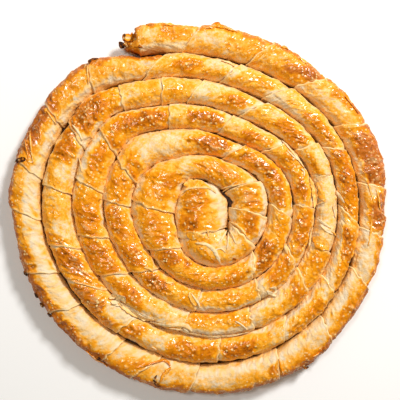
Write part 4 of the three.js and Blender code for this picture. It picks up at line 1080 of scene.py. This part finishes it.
def makeFlakes(name, shapes, ground, seed):
    # A flake is a sheet along its course: t runs across it from 1 at the left to -1. It lies on the softened
    # ground, or at its course's own height, with its edges and middle raised by a parabola through the three
    # rises. Its underside is a sheet's thickness below, or in the dough where the piece is a fold.
    pointSets, fieldSets, faces, corners, first = [], [], [], [], 0
    side = math.ceil(math.sqrt(len(shapes)))
    edgeBump, riseBump, largeBump, smallBump = flakeShape["bumps"]
    blunt, least = flakeShape["tip"]
    palest, paleTones, paleRises = flakeShape["pale"]
    for n, (course, wide, lift, tone, (crumple, thick)) in enumerate(shapes):
        course, wide = fromView(course), np.array(wide) * view["point"]
        standing = course.shape[1] == 3
        run = np.concatenate([[0], np.cumsum(np.linalg.norm(np.diff(course[:, :2], axis=0), axis=-1))])
        rows = max(int(run[-1] / flakeShape["row"]), 6)
        s = np.linspace(0, run[-1], rows)
        line = np.stack([smoothCurve(run, places)(s) for places in course.T], -1)
        ahead = np.gradient(line[:, :2], axis=0)
        left = np.stack([-ahead[:, 1], ahead[:, 0]], -1) / np.linalg.norm(ahead, axis=-1, keepdims=True)
        across = max(int(max(wide) / flakeShape["column"]), 6) + 1
        t = np.linspace(1, -1, across)[None, :]
        place = np.concatenate([line[:, :2], np.full((rows, 1), 11.0 * n)], -1)
        ragged = [noise(place, edgeBump, seed + k)[:, None] for k in range(2)]  # its left and right edge
        half = smoothCurve(run, wide)(s)[:, None] / 2
        half = half * (1 + flakeShape["ragged"] * np.where(t > 0, *ragged))
        half = half * (1 - np.abs(np.linspace(-1, 1, rows)) ** blunt)[:, None] ** 0.5 + least
        at = line[:, None, :2] + left[:, None] * (half * t)[..., None]
        if not standing:
            turned = (coil["freeEnd"] - np.degrees(np.arctan2(at[..., 1], at[..., 0]))) % 360
            most = winding(turned) - view["margin"]
            at = at * np.minimum(1, most / np.linalg.norm(at, axis=-1))[..., None]
        solid, base = ground(at)
        if standing:
            stands = line[:, 2:] + 0 * t
            base = stands if name == "torn_layers" else np.maximum(stands, base)
        rise = bowed(lift, t)
        kept, change = flakeShape["restless"]
        rise = rise * (kept + change * noise(place, riseBump, seed + 4)[:, None])
        flat = np.concatenate([at, np.full((*at.shape[:2], 1), 7.0 * n)], -1)
        rough = noise(flat, largeBump, seed + 2) + 0.6 * noise(flat, smallBump, seed + 3)
        z = base + rise + crumple * rough
        if standing and thick >= 2:
            low = z - flakeShape["rooted"]
        elif thick < flakeShape["fold"]:
            low = z - thick
        else:
            low = np.minimum(z - flakeShape["sunk"][0], solid - flakeShape["sunk"][1])
        low = np.maximum(low, flakeShape["clear"])
        top, under = (np.concatenate([at, height[..., None]], -1) for height in (z, low))
        ring = np.concatenate([top, under[:, ::-1]], 1)
        count = ring.shape[1]
        box = (0.01 + (n % side) / side * 0.98, 0.01 + (n // side) / side * 0.98, 0.9 / side, 0.9 / side)
        quads, sheet = tubeFaces(rows, count, first, box)
        faces.append(quads)
        corners.append(sheet)
        a = np.arange(across - 1)
        for row, farEnd in ((0, 0), (rows - 1, 1)):  # both ends are closed
            start = first + row * count
            cap = np.stack([start + a, start + count - 1 - a, start + count - 2 - a, start + a + 1], -1)
            faces.append(cap[:, ::-1] if farEnd else cap)
            x = box[0] + box[2] * 0.999 * farEnd + 0 * cap
            y = box[1] + box[3] * np.stack([a, a + 0.3, a + 1.3, a + 1], -1) / count
            corners.append(np.stack([x, y], -1))
        shade = np.clip(bowed(tone, t) + flakeShape["speckled"] * rough, 0, 1)
        # paler where it rises: a painted highlight on its raised parts
        pale = np.clip(palest * smooth(*paleTones, shade) * smooth(*paleRises, rise + 0 * shade), 0, 1)
        washed = (shade < flakeShape["darkest"]) * (name != "torn_layers")  # no wash reached the inside
        none = 0 * shade
        gloss = smooth(*flakeShape["glazed"], shade) * washed
        fields = dict(brown=shade, lip=pale, blister=none, gloss=gloss, paintedShade=none,
                      wash=flakeShape["wash"] + none, roast=none)
        pointSets.append(ring.reshape(-1, 3))
        fieldSets.append({key: np.concatenate([v, v[:, ::-1]], 1).ravel() for key, v in fields.items()})
        first += rows * count
    return joinParts(name, pointSets, fieldSets, faces, corners)[0]


def toLinear(code):
    # sRGB hex to linear numbers.
    parts = [int(code[i:i + 2], 16) / 255 for i in (1, 3, 5)]
    return [c / 12.92 if c <= 0.04045 else ((c + 0.055) / 1.055) ** 2.4 for c in parts] + [1.0]


def addNode(tree, kind, inputs=None, **settings):
    # Adds a node, sets its properties, and then links its inputs to sockets or sets them to numbers.
    node = tree.nodes.new(kind)
    for key, value in settings.items():
        setattr(node, key, value)
    for socket, source in (inputs or {}).items():
        if isinstance(source, bpy.types.NodeSocket):
            tree.links.new(source, node.inputs[socket])
        else:
            node.inputs[socket].default_value = source
    return node


def setRamp(node, stops):
    # Stops are pairs of a place from 0 to 1 and an sRGB hex.
    ramp = node.color_ramp
    while len(ramp.elements) < len(stops):
        ramp.elements.new(0.5)
    for element, (place, code) in zip(ramp.elements, stops):
        element.position = place
        element.color = toLinear(code)


filoLook = {
    "browning": [(0.0, "#E8D3B1"), (0.13, "#F3C680"), (0.27, "#FBAF30"), (0.44, "#F19708"), (0.62, "#E08306"),
                 # colour of the painted shade in grooves, seams, hollows and the mouth
                 (0.78, "#CF7208"), (0.9, "#96500A"), (1.0, "#3A2014")],
    "paintedShade": "#7C4209",
    # colour of the pale lines, partly the dough's paler edges and partly painted highlight
    "lip": "#FADDA0",
    "rust": "#B05E26",
    "rustiness": 0.5,
    "blister": "#FFDF98",
    "blistering": 0.35,  # how far the large blisters take that colour
    "mottling": ((420.0, 0.62), (150.0, 0.42)),  # scale, 2.4 and 7 mm, and change of tone
    "dots": {  # small blisters, 1.8 mm wide, 3.5 mm apart
        "cell": 290.0,
        "edge": (0.6, 0.45),  # distance from a cell's middle at which a dot starts and is full
        "uneven": 0.5,  # how far the fine mottling moves that edge
        "brown": (0.2, 0.42),  # they come on between these tones
        "amount": 0.85,
        "clusters": (0.38, 0.6, 0.3),  # coarse mottling between which they crowd, and their share elsewhere
        "roasted": 0.3,  # how many fewer there are on the roasted rim
        "relief": 0.45,  # how far a dot stands out beside the fine mottling
    },
    "bump": (0.8, 0.0011),
    "roughness": (0.5, 0.17),  # bare and glazed
    "gloss": {"IOR": 1.45, "Specular IOR Level": 0.12, "Coat Roughness": 0.16, "Coat IOR": 1.5},
}


def makeFilo():
    # Egg-washed filo, baked: thin wheat-dough sheets that the wash turns glossy and the oven browns. It gives
    # the eye a deep golden film with small lighter blisters, over matt cream dough where no wash reached. Its
    # darker brown in grooves, seams, hollows and the mouth is painted shade, and its pale lines are partly
    # painted highlight.
    look, dots = filoLook, filoLook["dots"]
    material = bpy.data.materials.new("egg_washed_filo")
    material.use_nodes = True
    tree = material.node_tree
    tree.nodes.clear()
    where = addNode(tree, "ShaderNodeTexCoord").outputs["Object"]
    fields = {name: addNode(tree, "ShaderNodeAttribute", attribute_name=name).outputs["Fac"]
              for name in ("brown", "lip", "blister", "gloss", "paintedShade", "wash", "roast")}
    # mottling of the browning, where the wash lies
    tone, mottles = fields["brown"], []
    for scale, amount in look["mottling"]:
        mottle = addNode(tree, "ShaderNodeTexNoise",
                         {"Vector": where, "Scale": scale, "Detail": 4.0, "Roughness": 0.65}).outputs["Fac"]
        change = addNode(tree, "ShaderNodeMath", {0: mottle, 1: amount, 2: -0.5 * amount},
                         operation="MULTIPLY_ADD")
        tone = addNode(tree, "ShaderNodeMath", {0: change.outputs[0], 1: fields["wash"], 2: tone},
                       operation="MULTIPLY_ADD").outputs[0]
        mottles.append(mottle)
    grain, clusters = mottles
    browned = addNode(tree, "ShaderNodeClamp", {"Value": tone})
    colour = addNode(tree, "ShaderNodeValToRGB", {"Fac": browned.outputs["Result"]})
    setRamp(colour, look["browning"])

    # small blisters in clusters, where it is brown enough
    low, high, least = dots["clusters"]
    crowd = addNode(tree, "ShaderNodeMapRange",
                    {"Value": clusters, "From Min": low, "From Max": high, "To Min": least})
    cells = addNode(tree, "ShaderNodeTexVoronoi", {"Vector": where, "Scale": dots["cell"]})
    uneven = addNode(tree, "ShaderNodeMath", {0: grain, 1: dots["uneven"], 2: cells.outputs["Distance"]},
                     operation="MULTIPLY_ADD")
    start, full = dots["edge"]
    dot = addNode(tree, "ShaderNodeMapRange",
                  {"Value": uneven.outputs[0], "From Min": start, "From Max": full},
                  interpolation_type="SMOOTHSTEP")
    low, high = dots["brown"]
    allowed = addNode(tree, "ShaderNodeMapRange",
                      {"Value": fields["brown"], "From Min": low, "From Max": high, "To Max": dots["amount"]},
                      interpolation_type="SMOOTHSTEP")
    shown = addNode(tree, "ShaderNodeMath", {0: crowd.outputs["Result"], 1: allowed.outputs["Result"]},
                    operation="MULTIPLY")
    dotted = addNode(tree, "ShaderNodeMath", {0: dot.outputs["Result"], 1: shown.outputs[0]},
                     operation="MULTIPLY").outputs[0]
    spared = addNode(tree, "ShaderNodeMath", {0: fields["roast"], 1: -dots["roasted"], 2: 1.0},
                     operation="MULTIPLY_ADD").outputs[0]

    # each of these colours lies over the ones before it; the painted shade and the pale lines, partly painted
    # highlight, are among them
    done = colour.outputs["Color"]
    for name, amount, share in (("rust", fields["roast"], look["rustiness"]),
                                ("paintedShade", fields["paintedShade"], 1.0),
                                ("blister", fields["blister"], look["blistering"]),
                                ("blister", dotted, spared),
                                ("lip", fields["lip"], 1.0)):
        if share != 1.0:
            amount = addNode(tree, "ShaderNodeMath", {0: amount, 1: share}, operation="MULTIPLY").outputs[0]
        mixed = addNode(tree, "ShaderNodeMix", {"Factor": amount, "A": done, "B": toLinear(look[name])},
                        data_type="RGBA")
        done = mixed.outputs["Result"]
    matt, glazed = look["roughness"]
    rough = addNode(tree, "ShaderNodeMapRange", {"Value": fields["gloss"], "To Min": matt, "To Max": glazed})
    relieved = addNode(tree, "ShaderNodeMath", {0: dotted, 1: dots["relief"], 2: grain},
                       operation="MULTIPLY_ADD").outputs[0]
    strength, distance = look["bump"]
    bump = addNode(tree, "ShaderNodeBump", {"Height": relieved, "Strength": strength, "Distance": distance})
    shader = addNode(tree, "ShaderNodeBsdfPrincipled", {
        "Base Color": done, "Roughness": rough.outputs["Result"], "Normal": bump.outputs["Normal"],
        "Coat Weight": fields["gloss"], **look["gloss"]})
    addNode(tree, "ShaderNodeOutputMaterial", {"Surface": shader.outputs["BSDF"]})
    return material


grooveFloor = {
    "height": 7.6,  # of the dough between the turns
    "uneven": (0.8, 8),  # how far that rises and falls, and over how many mm
    "halfWidth": 2.6,
    "depth": 2.5,
    "slab": (5.5, 9.0),  # lowest and highest height of the slab under the hole in the centre
    "slabMiddle": (20, 8),
    "slabRadius": 22,
    "slabCorners": 48,
    # dark brown that paints the shade at the bottom of the grooves and in the hole
    "colours": [(0.35, "#44230A"), (0.7, "#7E4E22")],
    "scale": 260.0,  # blotches of 4 mm
    "roughness": 0.55,
}


def makeGrooveFloor():
    # What shows at the bottom of the grooves, where the turns have baked together: a flat ribbon along the
    # groove with its edges inside the dough on both sides, and a slab under the hole in the centre. Its dark
    # colour is painted shade.
    line = grooveLine(np.arange(-2.0, hookStart + 2))
    side = np.gradient(line, axis=0)
    side = np.stack([-side[:, 1], side[:, 0]], -1) / np.linalg.norm(side, axis=-1, keepdims=True)
    change, size = grooveFloor["uneven"]
    z = grooveFloor["height"] + change * noise(np.concatenate([line, 0 * line[:, :1]], -1), size, 41)
    wide, deep = grooveFloor["halfWidth"], grooveFloor["depth"]
    section = [(-wide, -deep), (-wide, 0), (wide, 0), (wide, -deep)]
    ribbon = np.stack([np.concatenate([line + side * w, (z + h)[:, None]], -1) for w, h in section], 1)
    rows, count = len(line), grooveFloor["slabCorners"]
    ends = [[3, 2, 1, 0], [4 * rows - 4, 4 * rows - 3, 4 * rows - 2, 4 * rows - 1]]
    turn, radius = np.arange(count) / count * 2 * math.pi, grooveFloor["slabRadius"]
    x, y = grooveFloor["slabMiddle"]
    slab = [np.stack([x + radius * np.cos(turn), y + radius * np.sin(turn), 0 * turn + height], -1)
            for height in grooveFloor["slab"]]
    points = np.concatenate([ribbon.reshape(-1, 3), *slab])
    lower = 4 * rows + np.arange(count)
    upper, nextOne = lower + count, np.roll(lower, -1)
    wall = np.stack([lower, nextOne, nextOne + count, upper], -1)
    quads = tubeFaces(rows, 4)[0][:, ::-1]
    faces = quads.tolist() + ends + wall.tolist() + [lower[::-1].tolist(), upper.tolist()]
    mesh = bpy.data.meshes.new("groove_floor")
    mesh.from_pydata((placed(points) / 1000).tolist(), [], faces)
    return linkObject("groove_floor", mesh)


def makeShadeDarkDough():
    # Dough at the bottom of the grooves and under the hole, painted dark brown for the shade there: dark,
    # slightly glossy.
    material = bpy.data.materials.new("painted_shade_dough")
    material.use_nodes = True
    tree = material.node_tree
    shader = tree.nodes["Principled BSDF"]
    where = addNode(tree, "ShaderNodeTexCoord").outputs["Object"]
    mottle = addNode(tree, "ShaderNodeTexNoise",
                     {"Vector": where, "Scale": grooveFloor["scale"], "Detail": 3.0})
    colour = addNode(tree, "ShaderNodeValToRGB", {"Fac": mottle.outputs["Fac"]})
    setRamp(colour, grooveFloor["colours"])
    tree.links.new(colour.outputs["Color"], shader.inputs["Base Color"])
    shader.inputs["Roughness"].default_value = grooveFloor["roughness"]
    return material


dough = makeGrooveFloor()
finishPiece(dough, makeShadeDarkDough())
print(dough.name, "faces", len(dough.data.polygons))
filo = makeFilo()
baked = []
for n, which in enumerate(np.array_split(np.arange(len(seams)), 8)):
    rope, points = makeRope(f"filo_rope_{n + 1}", which)
    baked.append(points)
    finishPiece(rope, filo)
    print(rope.name, "wraps", which[0], "to", which[-1], "faces", len(rope.data.polygons))
ground = heightMap(np.concatenate(baked))
for n, (name, shapes) in enumerate(flakes.items()):
    loose = makeFlakes(name, shapes, ground, 60 + 7 * n)
    finishPiece(loose, filo)
    print(name, "faces", len(loose.data.polygons))

stageLook = {
    "floor": "#F6F5F3",
    "half": 3.0,  # half the floor's side, in metres
    "drop": 0.0002,  # the floor lies this far below the pie, so the two never flicker
    "sky": (0.28, (1, 0.91, 0.78)),  # strength and colour
    # name, place, side and power of each lamp
    "lights": [("key", (0.65, 0.8, 0.95), 0.25, 20.0), ("top", (-0.3, 0.3, 1.2), 0.2, 4.0)],
}


def makeStage():
    # A plain pale floor, wide enough for a view from any side.
    half, down = stageLook["half"], -stageLook["drop"]
    mesh = bpy.data.meshes.new("floor")
    mesh.from_pydata([(-half, -half, down), (half, -half, down), (half, half, down), (-half, half, down)],
                     [], [(0, 1, 2, 3)])
    floor = linkObject("floor", mesh)
    paper = bpy.data.materials.new("matt_white_paper")  # plain, unprinted, no sheen
    paper.use_nodes = True
    shader = paper.node_tree.nodes["Principled BSDF"]
    shader.inputs["Base Color"].default_value = toLinear(stageLook["floor"])
    shader.inputs["Roughness"].default_value = 0.9
    mesh.materials.append(paper)


def addLight(name, place, size, power):
    # A square lamp that faces the middle of the floor.
    data = bpy.data.lights.new(name, "AREA")
    data.shape, data.size, data.energy = "SQUARE", size, power
    light = linkObject(name, data)
    light.location = place
    light.rotation_euler = (-Vector(place)).to_track_quat("-Z", "Y").to_euler()


makeStage()
for light in stageLook["lights"]:
    addLight(*light)
world = bpy.data.worlds.new("studio")
bpy.context.scene.world = world
world.use_nodes = True
background = world.node_tree.nodes["Background"]
background.inputs["Strength"].default_value = stageLook["sky"][0]
background.inputs["Color"].default_value = (*stageLook["sky"][1], 1)
world.cycles_visibility.glossy = False  # only the lamps give highlights, so the glaze stays deep
bpy.context.scene.view_settings.view_transform = "Standard"

lens = {
    "place": (0.0022, 0.0070, 0.62),  # the coil shows a little left of and below the middle
    "coil": (0.330, 375),  # width of the coil in metres, and in points of the frame
    "level": 0.012,  # height at which it is as wide as that
    "frame": 400,  # points
    "sensor": 36,
}
cameraData = bpy.data.cameras.new("camera")
camera = linkObject("camera", cameraData)
bpy.context.scene.camera = camera
camera.location = lens["place"]
coilWide, coilPoints = lens["coil"]
away = lens["place"][2] - lens["level"]
cameraData.sensor_width = lens["sensor"]
cameraData.lens = lens["sensor"] * away / (coilWide / coilPoints * lens["frame"])

print("floor, lights and camera placed, lens", round(cameraData.lens, 2))
